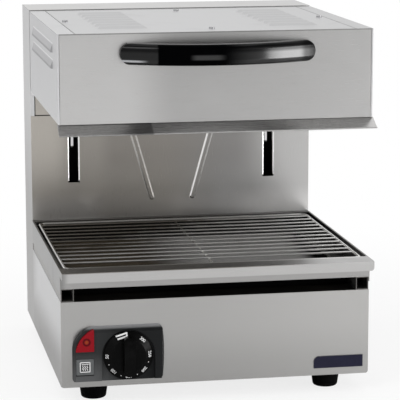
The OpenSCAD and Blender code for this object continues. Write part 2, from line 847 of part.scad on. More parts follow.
module knob() {
    r = knob_d / 2;
    top_r = r * 0.7;
    rim_t = 2.5;
    crown_r = 60;
    tip = skirt_t + grip_h;
    color([0.05, 0.05, 0.05]) placed() translate([knob_x, knob_back, knob_z]) rotate([90, 0, 0]) difference() {
        union() {
            rotate_extrude($fn = 96) polygon([[0, 0], [r, 0], [r, rim_t], [top_r, skirt_t], [0, skirt_t]]);
            intersection() {
                linear_extrude(tip)
                    round_area([-grip_w / 2, -grip_l / 2], [grip_w / 2, grip_l / 2], grip_w / 2 - 0.01);
                translate([0, 0, tip - crown_r]) rotate([0, 90, 0])
                    cylinder(r = crown_r, h = grip_w * 2, center = true, $fn = 96);
            }
        }
        translate([0, 0, -cut]) cylinder(r = bush_out_d / 2 + 1, h = cut + 2, $fn = fine);
        translate([0, 0, -cut])
            cylinder(r = spindle_d / 2 + spindle_clear, h = knob_back - spindle_front + cut, $fn = fine);
    }
}

// ---------- column ----------

rear_screw_z = [40, column_h / 2, column_h - 30];
rear_screw_x = w2 - sheet - fold_w / 2;

module column_side() {
    difference() {
        union() {
            box([-w2, base_d + sheet, 0], [-in_w, total_d - sheet, column_h]);
            box([-w2, base_d + sheet, base_h], [-w2 + jamb_w, base_d + 2 * sheet, column_h - fold_w - cut]);
            box([-w2, base_d + sheet, column_h - fold_w - 2 * cut], [-w2 + jamb_w, base_d + 2 * sheet, column_h]);
            box([-w2, total_d - 2 * sheet, fold_w + cut], [-in_w + fold_w, total_d - sheet, column_h - fold_w - cut]);
        }
        for (z = rear_screw_z) pin_y(-rear_screw_x, z, screw_d / 2 + 0.2, total_d - 3 * sheet, total_d);
    }
}

module column_side_left() {
    color("silver") placed() column_side();
}

module column_side_right() {
    color("silver") placed() mirror([1, 0, 0]) column_side();
}

// The folded edge beside a slot: a round front and a flange that runs into the column
module slot_fold() {
    z0 = slot_z0 + slot_relief;
    translate([slot_x - slot_w / 2, 0, 0]) translate([0, 0, z0]) linear_extrude(panel_top - z0) {
        intersection() {
            translate([-slot_edge, base_d + slot_edge]) circle(slot_edge, $fn = fine);
            area([-slot_edge, base_d], [0, base_d + slot_edge]);
        }
        area([-sheet, base_d + slot_edge], [0, base_d + slot_edge_d]);
        area([-slot_edge - cut, base_d], [-slot_edge, base_d + sheet]);
    }
}

// The form of a pressed rib: a raised flat between two slopes, with conical ends and a core of a given depth behind
module rib_form(half, top, back, rise) {
    run = [rib_head_x - rib_foot_x, panel_top - rib_head_drop - rib_foot_z];
    translate([rib_foot_x, base_d, rib_foot_z]) rotate([0, atan2(run[0], run[1]), 0]) {
        linear_extrude(norm(run))
            polygon([[-half, back], [half, back], [half, 0], [top, -rise], [-top, -rise], [-half, 0]]);
        for (z = [0, norm(run)]) translate([0, 0, z]) rotate([-90, 0, 0]) rotate_extrude($fn = fine)
            polygon([[0, back], [half, back], [half, 0], [top, -rise], [0, -rise]]);
    }
}

module column_front_panel() {
    color("gainsboro") placed() {
        both() slot_fold();
        both() mirror([1, 0, 0]) translate([-2 * slot_x, 0, 0]) slot_fold();
        difference() {
            union() {
                box([-w2, base_d, base_h], [w2, base_d + sheet, panel_top]);
                both() rib_form(rib_w / 2, rib_w / 2 - rib_slope, sheet / 2, rib_h);
            }
            both() box(
                [slot_x - slot_cut / 2, base_d - cut, slot_z0],
                [slot_x + slot_cut / 2, base_d + 2 * cut + sheet, panel_top + cut]);
            both() rib_form(rib_w / 2 - rib_wall, rib_w / 2 - rib_wall - rib_slope, sheet + cut, rib_h - rib_wall);
        }
    }
}

module column_upper_plate() {
    half = w2 - jamb_w - plate_joint;
    color("gray") placed() difference() {
        box([-half, base_d + sheet, panel_top + plate_joint], [half, base_d + 2 * sheet, column_h]);
        both() box(
            [slot_x - slot_cut / 2, base_d, panel_top], [slot_x + slot_cut / 2, base_d + 3 * sheet, slot_z1]);
    }
}

module column_top_cap() {
    color("silver") placed() {
        box([-w2, base_d, column_h], [w2, total_d, column_h + sheet]);
        box([-w2, base_d, column_h - jamb_w], [w2, base_d + sheet, column_h + sheet]);
        both() box([in_w - sheet, base_d + 2 * sheet, column_h - fold_w], [in_w, total_d - sheet, column_h + sheet]);
    }
}

module column_rear_cover() {
    vents = 9;
    pitch = vent_w * 2.6;
    color("silver") placed() difference() {
        box([-w2, total_d - sheet, 0], [w2, total_d, column_h]);
        both() for (z = rear_screw_z) pin_y(rear_screw_x, z, screw_d / 2 + 0.2, total_d - 2 * sheet, total_d + cut);
        pin_y(gland_x, gland_z, gland_bore / 2 + 5.2, total_d - 2 * sheet, total_d + cut);
        for (z = [column_h - vent_drop, vent_z]) along_y(total_d - 2 * sheet, total_d + cut)
            for (i = [0:vents - 1]) round_area(
                [(i - (vents - 1) / 2) * pitch - vent_w / 2, z - vent_l / 2],
                [(i - (vents - 1) / 2) * pitch + vent_w / 2, z + vent_l / 2], vent_w / 2 - 0.01);
    }
}

module rear_cover_screws() {
    color("dimgray") placed() both() for (z = rear_screw_z)
        translate([rear_screw_x, total_d, z]) mirror([0, 1, 0]) screw_y(screw_d, screw_l);
}

module guide_rod() {
    top_z = column_h - crossbar_h - 4 + crossbar_t + 5;
    translate([-rod_x, rod_y, sheet]) cylinder(d = rod_d, h = top_z - sheet, $fn = fine);
}

module guide_rod_left() {
    color("gainsboro") placed() guide_rod();
}

module guide_rod_right() {
    color("gainsboro") placed() mirror([1, 0, 0]) guide_rod();
}

// A channel across the column, with its web at web_z and its legs running to leg_z
module channel(half, web_z, leg_z) {
    y0 = rod_y - crossbar_d / 2;
    low = min(web_z, leg_z);
    high = max(web_z + crossbar_t, leg_z);
    box([-half, y0, web_z], [half, y0 + crossbar_d, web_z + crossbar_t]);
    for (y = [y0, y0 + crossbar_d - crossbar_t]) box([-half, y, low], [half, y + crossbar_t, high]);
}

module rod_holes(z) {
    both() translate([rod_x, rod_y, z]) cylinder(r = rod_d / 2 + rod_clear, h = 4 * crossbar_t, $fn = fine);
}

module lower_crossbar() {
    web_z = sheet + crossbar_h - crossbar_t;
    color("dimgray") placed() difference() {
        union() {
            channel(in_w - sheet, web_z, sheet);
            both() for (s = [-1, 1]) box(
                [strut_x - eye_r, rod_y + s * (eye_t / 2 + touch + ear_t / 2) - ear_t / 2, web_z],
                [strut_x + eye_r, rod_y + s * (eye_t / 2 + touch + ear_t / 2) + ear_t / 2, strut_z0 + eye_r]);
        }
        rod_holes(web_z - crossbar_t);
        both() pin_y(strut_x, strut_z0, strut_pin_d / 2 + 0.05, rod_y - crossbar_d / 2, rod_y + crossbar_d / 2);
    }
}

module upper_crossbar() {
    web_z = column_h - crossbar_h - 4;
    color("dimgray") placed() difference() {
        channel(in_w - sheet, web_z, column_h);
        rod_holes(web_z - crossbar_t);
    }
}

// ---------- gas struts ----------

module strut_tubes() {
    tube_r_out = strut_tube_d / 2;
    eye_top = strut_tube_z0 + 4;
    color([0.1, 0.1, 0.1]) placed() both() translate([strut_x, rod_y, 0]) difference() {
        union() {
            translate([0, 0, strut_tube_z0]) cylinder(r = tube_r_out, h = strut_tube_l, $fn = fine);
            pin_y(0, strut_z0, eye_r, -eye_t / 2, eye_t / 2);
            box([-eye_t / 2, -eye_t / 2, strut_z0], [eye_t / 2, eye_t / 2, eye_top]);
        }
        translate([0, 0, strut_tube_z0 + 5]) cylinder(r = tube_r_out - strut_wall, h = strut_tube_l - 11, $fn = fine);
        translate([0, 0, strut_tube_z0 + 5]) cylinder(r = strut_rod_d / 2 + rod_clear, h = strut_tube_l, $fn = fine);
        pin_y(0, strut_z0, strut_pin_d / 2 + 0.05, -eye_t, eye_t);
    }
}

module strut_rods() {
    piston_z = strut_tube_z1 - 8 - piston_l;
    rod_end = carriage_z - eye_r + 1;
    color("gainsboro") placed() both() translate([strut_x, rod_y, 0]) difference() {
        union() {
            translate([0, 0, piston_z]) cylinder(r = strut_tube_d / 2 - strut_wall - touch, h = piston_l, $fn = fine);
            translate([0, 0, piston_z]) cylinder(d = strut_rod_d, h = rod_end - piston_z, $fn = fine);
            pin_y(0, carriage_z, eye_r, -eye_t / 2, eye_t / 2);
        }
        pin_y(0, carriage_z, strut_pin_d / 2 + 0.05, -eye_t, eye_t);
    }
}

module strut_pins() {
    reach = eye_t / 2 + touch + ear_t + 2;
    color("silver") placed() both() pin_y(strut_x, strut_z0, strut_pin_d / 2, rod_y - reach, rod_y + reach);
}

// ---------- lift carriage ----------

module slider_block() {
    difference() {
        box(
            [-slot_x + arm_t / 2, rod_y - slider_d / 2, slider_z],
            [-slider_x0, rod_y + slider_d / 2, slider_z + slider_h]);
        translate([-rod_x, rod_y, slider_z - cut]) cylinder(r = bush_r + 0.05, h = slider_h + 2 * cut, $fn = fine);
    }
}

module slider_block_left() {
    color("darkgray") placed() slider_block();
}

module slider_block_right() {
    color("darkgray") placed() mirror([1, 0, 0]) slider_block();
}

module slider_bushes() {
    color("burlywood") placed() both() for (z = [slider_z, slider_z + slider_h - bush_len])
        translate([rod_x, rod_y, z]) difference() {
            cylinder(r = bush_r, h = bush_len, $fn = fine);
            translate([0, 0, -cut]) cylinder(r = rod_d / 2 + rod_clear, h = bush_len + 2 * cut, $fn = fine);
        }
}

// A plate on edge: its tail rides in the column and its tongue comes out of the slot to the hood
module arm() {
    y0 = base_d + arm_back;
    y1 = y0 + arm_d;
    flange_w = 20;
    flange_t = hood_gap - 2;
    hole_r = 9;
    difference() {
        along_x(-slot_x - arm_t / 2, -slot_x + arm_t / 2) difference() {
            union() {
                round_area([y0, arm_z], [y1, tongue_z1], 4);
                area([hood_rear, tongue_z0], [y0 + 6, tongue_z1 - 4]);
            }
            for (z = [arm_z + 22, arm_z + 52]) translate([y1 - 18, z]) circle(hole_r, $fn = fine);
        }
    }
    difference() {
        box(
            [-slot_x - arm_t / 2, hood_rear, tongue_z0],
            [-slot_x + arm_t / 2 + flange_w, hood_rear + flange_t, tongue_z1 - 4]);
        for (z = [tongue_z0 + 14, tongue_z1 - 18])
            pin_y(-slot_x + flange_w / 2 + 2, z, 2.6, hood_rear - cut, hood_rear + 10);
    }
}

module arm_left() {
    color("silver") placed() arm();
}

module arm_right() {
    color("silver") placed() mirror([1, 0, 0]) arm();
}

module carriage_bar() {
    y0 = rod_y + slider_d / 2;
    half = slot_x - arm_t / 2;
    color("darkgray") placed() {
        along_y(y0, y0 + carriage_t) difference() {
            round_area([-half, carriage_z - carriage_h / 2], [half, carriage_z + carriage_h / 2], 5);
            for (s = [-1, 1]) translate([s * carriage_h / 2, carriage_z]) circle(carriage_h / 5, $fn = fine);
        }
        both() pin_y(strut_x, carriage_z, strut_pin_d / 2, rod_y - eye_t / 2 - 2, y0 + 1);
    }
}

// ---------- hood ----------

cover_w2 = w2 - top_strip;
cover_screw_x = w2 - cover_screw_inset;
panel_w2 = w2 - front_fold - seam;
front_in = -hood_proud + sheet;
cover_screws = [
    [-cover_screw_x, (hood_rear - hood_proud) / 2], [cover_screw_x, (hood_rear - hood_proud) / 2],
    [0, cover_screw_y], [0, hood_rear - cover_screw_y],
];
ledge_d = cover_screw_y + 8;

module hood_front_panel() {
    color("gainsboro") placed() difference() {
        union() {
            box([-panel_w2, -hood_proud, hood_z0], [panel_w2, front_in, hood_z1]);
            box([-cover_w2 + seam, front_in - 0.5, hood_z1 - 2 * sheet], [cover_w2 - seam, ledge_d, hood_z1 - sheet]);
        }
        both() pin_y(handle_screw_x, handle_z, handle_screw_d / 2 + 0.2, -hood_proud - cut, front_in + cut);
        screw_holes(hood_z1 - 3 * sheet);
    }
}

module screw_holes(z) {
    for (p = cover_screws) translate([p[0], p[1], z]) cylinder(r = screw_d / 2 + 0.2, h = 5 * sheet, $fn = 24);
}

side_louvre_z = [hood_z1 - side_louvre_drop, hood_z1 - side_louvre_drop - side_louvre_pitch];

// Lays a louvre on the outside of the hood's left side, with its mouth down at height z
module on_side(z) {
    translate([-w2, (hood_rear - hood_proud) / 2, z]) rotate([90, 0, -90]) children();
}

module hood_side() {
    difference() {
        union() {
            box([-w2, -hood_proud, hood_z0], [-in_w, hood_rear, hood_z1]);
            box([-w2, front_in, hood_z1 - sheet], [-cover_w2 - seam, hood_rear, hood_z1]);
            box([-cover_w2 - seam - 2, ledge_d + 2, hood_z1 - 2 * sheet],
                [-cover_w2 + ledge_w, hood_rear - ledge_d - 2, hood_z1 - sheet]);
            box([-w2, -hood_proud, hood_z0], [-w2 + front_fold, front_in, hood_z1]);
            box([-w2, front_in + 2 * sheet, hood_z0], [-w2 + fold_w, hood_rear - sheet, hood_z0 + sheet]);
            for (z = side_louvre_z) on_side(z) louvre(side_louvre_l, side_louvre_w, side_louvre_h);
        }
        for (z = side_louvre_z) on_side(z) louvre_hollow(side_louvre_l, side_louvre_w, side_louvre_h);
        screw_holes(hood_z1 - 3 * sheet);
    }
}

module hood_side_left() {
    color("gainsboro") placed() hood_side();
}

module hood_side_right() {
    color("gainsboro") placed() mirror([1, 0, 0]) hood_side();
}

// Lays a louvre on the top cover, with its mouth to the rear
module on_top(place) {
    translate([place[0], place[1] + top_louvre_w, hood_z1]) mirror([0, 1, 0]) children();
}

module hood_top_cover() {
    y0 = front_in + seam;
    field_y = (y0 + hood_rear) / 2 - (top_louvres - 1) * top_louvre_pitch / 2 - top_louvre_w / 2;
    places = [for (s = [-1, 1], i = [0:top_louvres - 1]) [s * (w2 - field_inset), field_y + i * top_louvre_pitch]];
    color("gainsboro") placed() difference() {
        union() {
            box([-cover_w2, y0, hood_z1 - sheet], [cover_w2, hood_rear, hood_z1]);
            for (p = places) on_top(p) louvre(top_louvre_l, top_louvre_w, top_louvre_h);
        }
        for (p = places) on_top(p) louvre_hollow(top_louvre_l, top_louvre_w, top_louvre_h);
        screw_holes(hood_z1 - 3 * sheet);
    }
}

module hood_cover_screws() {
    color("dimgray") placed() for (p = cover_screws) translate([p[0], p[1], hood_z1]) rotate([-90, 0, 0])
        screw_y(screw_d, screw_l);
}

module hood_back_plate() {
    top = hood_z1 - sheet;
    color("gray") placed() difference() {
        union() {
            box([-in_w, hood_rear - sheet, hood_z0], [in_w, hood_rear, top]);
            box([-cover_w2 + seam, hood_rear - ledge_d, top - sheet], [cover_w2 - seam, hood_rear, top]);
        }
        screw_holes(hood_z1 - 3 * sheet);
        both() for (z = [tongue_z0 + 14, tongue_z1 - 18])
            pin_y(slot_x - 12, z, 2.6, hood_rear - 10, hood_rear + cut);
    }
}

module hood_lip() {
    top = [front_in, hood_z0 - seam];
    tip = [-hood_proud - flare_out, hood_z0 - flare_drop];
    up = 18;
    color("dimgray") placed() {
        along_x(-in_w + touch, in_w - touch)
            area([front_in, hood_z0 - seam - sheet], [front_in + sheet, hood_z0 + up]);
        along_x(-w2 - flare_side, w2 + flare_side) {
            strip(tip, top, -sheet);
            area([front_in, hood_z0 - seam - 2 * sheet], [front_in + sheet, hood_z0 - seam]);
        }
        pin_x(tip[0] + 0.6, tip[1], flare_hem / 2, -w2 - flare_side, w2 + flare_side);
    }
}

// ---------- heater ----------

module reflector() {
    top = refl_z + sheet;
    color("gainsboro") placed() difference() {
        union() {
            box([-refl_w2, refl_y0, refl_z], [refl_w2, refl_y1, top]);
            for (y = [refl_y0, refl_y1 - sheet]) box([-refl_w2, y, hood_z0 + sheet], [refl_w2, y + sheet, top]);
            both() box([refl_w2 - sheet, refl_y0, hood_z0 + sheet], [refl_w2, refl_y1, top]);
            both() box([refl_w2 - sheet, refl_y0, hood_z0 + sheet], [in_w - seam, refl_y1, hood_z0 + 2 * sheet]);
        }
        for (i = [0, runs - 1, runs, 2 * runs - 1])
            pin_x(run_y0 + i * run_pitch, tube_z, tube_r + tube_clear, refl_w2 - 2 * sheet, refl_w2 + cut);
    }
}

module insulation() {
    margin = 12;
    color("beige") placed() box(
        [-refl_w2 + margin, refl_y0 + margin, refl_z + sheet],
        [refl_w2 - margin, refl_y1 - margin, refl_z + sheet + insulation_t]);
}

module bend(x, y, turn) {
    translate([x, y, tube_z]) rotate([0, 0, turn]) rotate_extrude(angle = 180, $fn = fine)
        translate([run_pitch / 2, 0]) circle(tube_r, $fn = 24);
}

// One heating tube: four runs across the hood, with both ends at the right
module element(first) {
    y0 = run_y0 + first * run_pitch;
    tail = refl_w2 + bead_l + 6;
    color([0.35, 0.33, 0.32]) placed() {
        for (i = [0:runs - 1])
            pin_x(y0 + i * run_pitch, tube_z, tube_r, bend_left, i == 0 || i == runs - 1 ? tail : bend_right);
        for (i = [0:2:runs - 2]) bend(bend_left, y0 + (i + 0.5) * run_pitch, 90);
        for (i = [1:2:runs - 2]) bend(bend_right, y0 + (i + 0.5) * run_pitch, -90);
    }
}

module element_front() {
    element(0);
}

module element_rear() {
    element(runs);
}

module element_supports() {
    below = 7;
    color("silver") placed() for (i = [-1:1]) difference() {
        box([i * support_pitch - support_t / 2, refl_y0 + sheet, tube_z - below],
            [i * support_pitch + support_t / 2, refl_y1 - sheet, refl_z]);
        for (k = [0:2 * runs - 1])
            pin_x(run_y0 + k * run_pitch, tube_z, tube_r + tube_clear, i * support_pitch - 3, i * support_pitch + 3);
        for (k = [0:2 * runs - 2])
            pin_x(run_y0 + (k + 0.5) * run_pitch, tube_z + 3, 9, i * support_pitch - 3, i * support_pitch + 3);
    }
}

module element_terminals() {
    color("white") placed() for (i = [0, runs - 1, runs, 2 * runs - 1]) difference() {
        pin_x(run_y0 + i * run_pitch, tube_z, bead_r, refl_w2, refl_w2 + bead_l);
        pin_x(run_y0 + i * run_pitch, tube_z, tube_r + 0.05, refl_w2 - cut, refl_w2 + bead_l + cut);
    }
}

// ---------- handle ----------

handle_z = hood_z1 - handle_drop;
handle_screw_x = handle_l / 2 - handle_screw_inset;

function arc_r(half, rise) = (half * half + rise * rise) / (2 * rise);

// A disc about a vertical axis that carries the handle's bowed front, with its rim rounded
module handle_bow() {
    outer_r = arc_r(handle_l / 2, handle_reach - handle_end_t);
    half_h = handle_h / 2;
    translate([0, -hood_proud - handle_reach + outer_r, handle_z]) rotate_extrude($fn = 180) {
        area([0, -half_h], [outer_r - handle_edge_r, half_h]);
        area([0, -half_h + handle_edge_r], [outer_r, half_h - handle_edge_r]);
        for (s = [-1, 1]) translate([outer_r - handle_edge_r, s * (half_h - handle_edge_r)])
            circle(handle_edge_r, $fn = fine);
    }
}

module handle() {
    half_h = handle_h / 2;
    gap_rise = handle_reach - handle_t;
    gap_r = arc_r(handle_l / 2 - handle_foot, gap_rise);
    color([0.04, 0.04, 0.04]) placed() difference() {
        intersection() {
            handle_bow();
            along_y(-hood_proud - handle_reach - cut, -hood_proud)
                round_area([-handle_l / 2, handle_z - half_h], [handle_l / 2, handle_z + half_h], half_h - 0.01);
        }
        translate([0, -hood_proud - gap_rise + gap_r, handle_z - half_h - cut])
            cylinder(r = gap_r, h = handle_h + 2 * cut, $fn = 180);
        both() pin_y(handle_screw_x, handle_z, handle_screw_d / 2 + 0.05, -hood_proud - handle_screw_l, cut);
    }
}

module handle_screws() {
    color("dimgray") placed() both() translate([handle_screw_x, front_in, handle_z]) mirror([0, 1, 0])
        screw_y(handle_screw_d, handle_screw_l);
}

// ---------- services ----------

module terminal_block() {
    block_x = gland_x - block_step;
    block_w = 54;
    block_y = total_d - 34;
    block_d = 20;
    block_h = 18;
    way = block_w / 3;
    color("ivory") placed() difference() {
        box([block_x, block_y, sheet], [block_x + block_w, block_y + block_d, sheet + block_h]);
        for (i = [0:2]) {
            pin_y(block_x + way * (i + 0.5), sheet + 8, 3, block_y - cut, block_y + block_d + cut);
            translate([block_x + way * (i + 0.5), block_y + block_d / 2, sheet + 8])
                cylinder(r = 2.6, h = block_h, $fn = 24);
        }
    }
}

module cable_gland() {
    bore_r = gland_bore / 2;
    body_r = bore_r + 5;
    color([0.08, 0.08, 0.08]) placed() difference() {
        union() {
            pin_y(gland_x, gland_z, body_r, total_d - sheet - 9, total_d + 1);
            translate([gland_x, total_d, gland_z]) rotate([-90, 0, 0]) cylinder(r = body_r + 5, h = 5, $fn = 6);
            translate([gland_x, total_d + 5, gland_z]) rotate([-90, 0, 0])
                cylinder(r1 = body_r + 3, r2 = bore_r + 3, h = gland_out - 5, $fn = fine);
            translate([gland_x, total_d - sheet - 5, gland_z]) rotate([-90, 0, 0])
                cylinder(r = body_r + 4, h = 5, $fn = 6);
        }
        pin_y(gland_x, gland_z, bore_r, total_d - 20, total_d + gland_out + cut);
    }
}

base_floor();
base_front_panel();
base_side_left();
base_side_right();
base_deck();
foot_front_left();
foot_front_right();
foot_rear_left();
foot_rear_right();
foot_screws();
tray_rail_left();
tray_rail_right();
drip_tray();
top_pan();
wire_grid();
control_bezel();
pilot_lens();
pilot_lamp();
symbol_tile();
blank_badge();
heat_control();
knob_spindle();
knob();
terminal_block();
cable_gland();
column_side_left();
column_side_right();
column_front_panel();
column_upper_plate();
column_top_cap();
column_rear_cover();
rear_cover_screws();
guide_rod_left();
guide_rod_right();
lower_crossbar();
upper_crossbar();
strut_tubes();
strut_rods();
strut_pins();
slider_block_left();
slider_block_right();
slider_bushes();
arm_left();
arm_right();
carriage_bar();
hood_front_panel();
hood_side_left();
hood_side_right();
hood_top_cover();
hood_cover_screws();
hood_back_plate();
hood_lip();
reflector();
insulation();
element_front();
element_rear();
element_supports();
element_terminals();
handle();
handle_screws();
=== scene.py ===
"""Dresses the cheese melter: brushed steel, browned wire, moulded plastic and printed signs."""
import math

import bmesh
import bpy
from mathutils import Matrix, Vector


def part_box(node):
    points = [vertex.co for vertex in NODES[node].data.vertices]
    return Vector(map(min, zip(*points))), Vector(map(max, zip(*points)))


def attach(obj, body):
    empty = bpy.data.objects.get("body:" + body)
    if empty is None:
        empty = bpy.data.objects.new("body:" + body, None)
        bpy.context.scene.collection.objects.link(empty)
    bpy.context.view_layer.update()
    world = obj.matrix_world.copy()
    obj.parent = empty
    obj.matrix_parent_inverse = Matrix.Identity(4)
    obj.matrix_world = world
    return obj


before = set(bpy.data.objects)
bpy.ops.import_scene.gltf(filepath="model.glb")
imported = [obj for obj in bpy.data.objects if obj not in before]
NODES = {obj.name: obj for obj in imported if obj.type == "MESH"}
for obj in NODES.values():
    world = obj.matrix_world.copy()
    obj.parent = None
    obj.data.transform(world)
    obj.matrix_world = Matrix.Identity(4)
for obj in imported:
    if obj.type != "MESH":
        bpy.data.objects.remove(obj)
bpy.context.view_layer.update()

MM = 0.001


# ---------- camera ----------

CAMERA_AZIMUTH = math.radians(-10.524)
CAMERA_ELEVATION = math.radians(10.324)
CAMERA_ROLL = math.radians(-0.094)
CAMERA_DISTANCE = 3.0538
CAMERA_TARGET = Vector((0.01277, -0.0245, 0.25649))
CAMERA_LENS = 180.7


def make_camera():
    back = Vector((
        math.sin(CAMERA_AZIMUTH) * math.cos(CAMERA_ELEVATION),
        -math.cos(CAMERA_AZIMUTH) * math.cos(CAMERA_ELEVATION),
        math.sin(CAMERA_ELEVATION),
    ))
    data = bpy.data.cameras.new("camera")
    data.lens = CAMERA_LENS
    camera = bpy.data.objects.new("camera", data)
    turn = back.to_track_quat("Z", "Y").to_matrix().to_4x4()
    place = Matrix.Translation(CAMERA_TARGET + back * CAMERA_DISTANCE)
    camera.matrix_world = place @ turn @ Matrix.Rotation(CAMERA_ROLL, 4, "Z")
    bpy.context.scene.collection.objects.link(camera)
    bpy.context.scene.camera = camera


# ---------- shader maths ----------

class Field:
    """A shader socket that can be added, subtracted and multiplied like a number."""

    def __init__(self, shader, socket):
        self.shader = shader
        self.socket = socket

    def __add__(self, other):
        return self.shader.maths("ADD", self, other)

    __radd__ = __add__

    def __sub__(self, other):
        return self.shader.maths("SUBTRACT", self, other)

    def __rsub__(self, other):
        return self.shader.maths("SUBTRACT", other, self)

    def __mul__(self, other):
        return self.shader.maths("MULTIPLY", self, other)

    __rmul__ = __mul__

    def __abs__(self):
        return self.shader.maths("ABSOLUTE", self)

    def clamped(self):
        return self.shader.larger(self.shader.maths("MINIMUM", self, 1.0), 0.0)


class Finish:
    """A material being built: its node tree, with one method that adds any node."""

    def __init__(self, name):
        self.material = bpy.data.materials.new(name)
        self.material.use_nodes = True
        self.tree = self.material.node_tree
        self.surface = self.tree.nodes["Principled BSDF"]

    def node(self, kind, settings=None, inputs=None, output=0):
        made = self.tree.nodes.new(kind)
        for key, value in (settings or {}).items():
            setattr(made, key, value)
        for key, value in (inputs or {}).items():
            self.feed(made.inputs[key], value)
        return Field(self, made.outputs[output])

    def feed(self, socket, value):
        """Links a field to a socket, or sets a number, a vector or a color on it."""
        if isinstance(value, Field):
            self.tree.links.new(value.socket, socket)
        elif isinstance(value, tuple) and socket.type == "RGBA":
            socket.default_value = (*value, 1.0)
        else:
            socket.default_value = value

    def maths(self, operation, a, b=0.0):
        return self.node("ShaderNodeMath", {"operation": operation}, {0: a, 1: b})

    def larger(self, a, b):
        return self.maths("MAXIMUM", a, b)

    def vector(self, operation, a, b):
        return self.node("ShaderNodeVectorMath", {"operation": operation}, {0: a, 1: b})

    def length(self, vector):
        return self.node("ShaderNodeVectorMath", {"operation": "LENGTH"}, {0: vector}, output="Value")

    def mix(self, factor, a, b):
        return self.node("ShaderNodeMix", {"data_type": "RGBA"}, {0: factor, 6: a, 7: b}, output=2)

    def place(self):
        """The place on the object, in metres in the object's own frame."""
        return self.node("ShaderNodeTexCoord", output="Object")

    def axis(self, name):
        return self.node("ShaderNodeSeparateXYZ", inputs={0: self.place()}, output="XYZ".index(name))

    def noise(self, scale, stretch=(1, 1, 1), detail=3.0, roughness=0.5, shift=(0, 0, 0)):
        """Noise from 0 to 1 with about `scale` lumps a metre; a small number in stretch draws them out."""
        spread = self.vector("MULTIPLY", self.vector("ADD", self.place(), shift), stretch)
        return self.node(
            "ShaderNodeTexNoise", {},
            {"Vector": spread, "Scale": scale, "Detail": detail, "Roughness": roughness},
        )

    def above(self, value, step):
        """0 below a soft step and 1 above it. The step is a pair: where it starts and where it ends."""
        start, end = step
        return self.node(
            "ShaderNodeMapRange", {"interpolation_type": "SMOOTHSTEP"},
            {"Value": value, "From Min": start, "From Max": end},
        )

    def below(self, value, step):
        return 1.0 - self.above(value, step)

    def between(self, value, rise, fall):
        """1 between two soft steps and 0 outside them."""
        return self.above(value, rise) * self.below(value, fall)

    def bump(self, height, strength, distance):
        inputs = {"Height": height, "Strength": strength, "Distance": distance}
        return self.node("ShaderNodeBump", inputs=inputs)

    def finish(self, **sockets):
        """Sets sockets of the surface by their names, with _ for a space, and gives the material."""
        for key, value in sockets.items():
            self.feed(self.surface.inputs[key.replace("_", " ")], value)
        return self.material


def scaled(tone, share):
    return tuple(min(c * share, 1.0) for c in tone)


# ---------- edges that the finishes follow ----------
# Each pair is a soft step, in metres: where it starts and where it ends.

HOOD_FACE_TOP_Z = (0.5312, 0.5317)
HOOD_FACE_FRONT_Y = (-0.2290, -0.2286)
HOOD_SIDE_TOP_Z = (0.5316, 0.5322)
HOOD_LOUVRE_OUT_X = (0.2251, 0.2256)
HOOD_COVER_SEAM_IN = (0.0018, 0.0008)

PAN_SKIRT_OUT_X = (0.2248, 0.2252)
PAN_SKIRT_FRONT_Y = (-0.2490, -0.2470)
PAN_LIP_FOOT_Z = (0.1850, 0.1866)
PAN_RIM_Z = (0.1985, 0.1995)
PAN_INNER_X = (0.2182, 0.2186)
PAN_INNER_BACK_Y = (0.1385, 0.1395)
PAN_INNER_FRONT_Y = (-0.2110, -0.2090)
PAN_WALL_X = (0.2246, 0.2250)
PAN_WALL_FRONT_Y = (-0.2235, -0.2225)
PAN_EDGE_FRONT_Y = (-0.2195, -0.2180)
PAN_EDGE_BACK_Y = (-0.2105, -0.2100)
PAN_EDGE_END_X = (0.214, 0.216)
PAN_CORNER_X = (-0.2255, -0.2150)

RAIL_CUT_Y = (-0.2230, -0.2215)
REAR_COVER_SKIN_Y = (0.2605, 0.2612)
TRAY_FRONT_Y = (-0.1775, -0.165)

GRID_TOP_Z = (0.1962, 0.1992)
GRID_END_X = (0.2165, 0.2170)
GRID_FRONT_Y = (-0.2065, -0.2060)
GRID_BACK_Y = (0.1335, 0.1340)

RIB_FOOT_X, RIB_FOOT_Z = 0.033, 0.231
RIB_HEAD_X, RIB_HEAD_Z = 0.067, 0.350
RIB_END = 3.0 * MM
RIB_TOP_X = (0.0020, 0.0028)
RIB_SIDE_X = (0.0048, 0.0056)
SLOT_X = 0.158
SLOT_HALF_X = (0.0092, 0.0098)
SLOT_FOOT_Z = (0.260, 0.2605)
SLOT_HEAD_Z = (0.5062, 0.5067)

BEZEL_TOP_Z = (0.1120, 0.1168)
HANDLE_TOP_Z = (0.5186, 0.5192)
FLOOR_FADE_R = (0.35, 1.2)


# ---------- steel sheet ----------

GRAIN_ALONG = {"X": (0.012, 1, 1), "Y": (1, 0.012, 1), "Z": (1, 1, 0.012)}
FINE_LINES = 2600
WIDE_LINES = 420
TONE_RANGE = 0.22


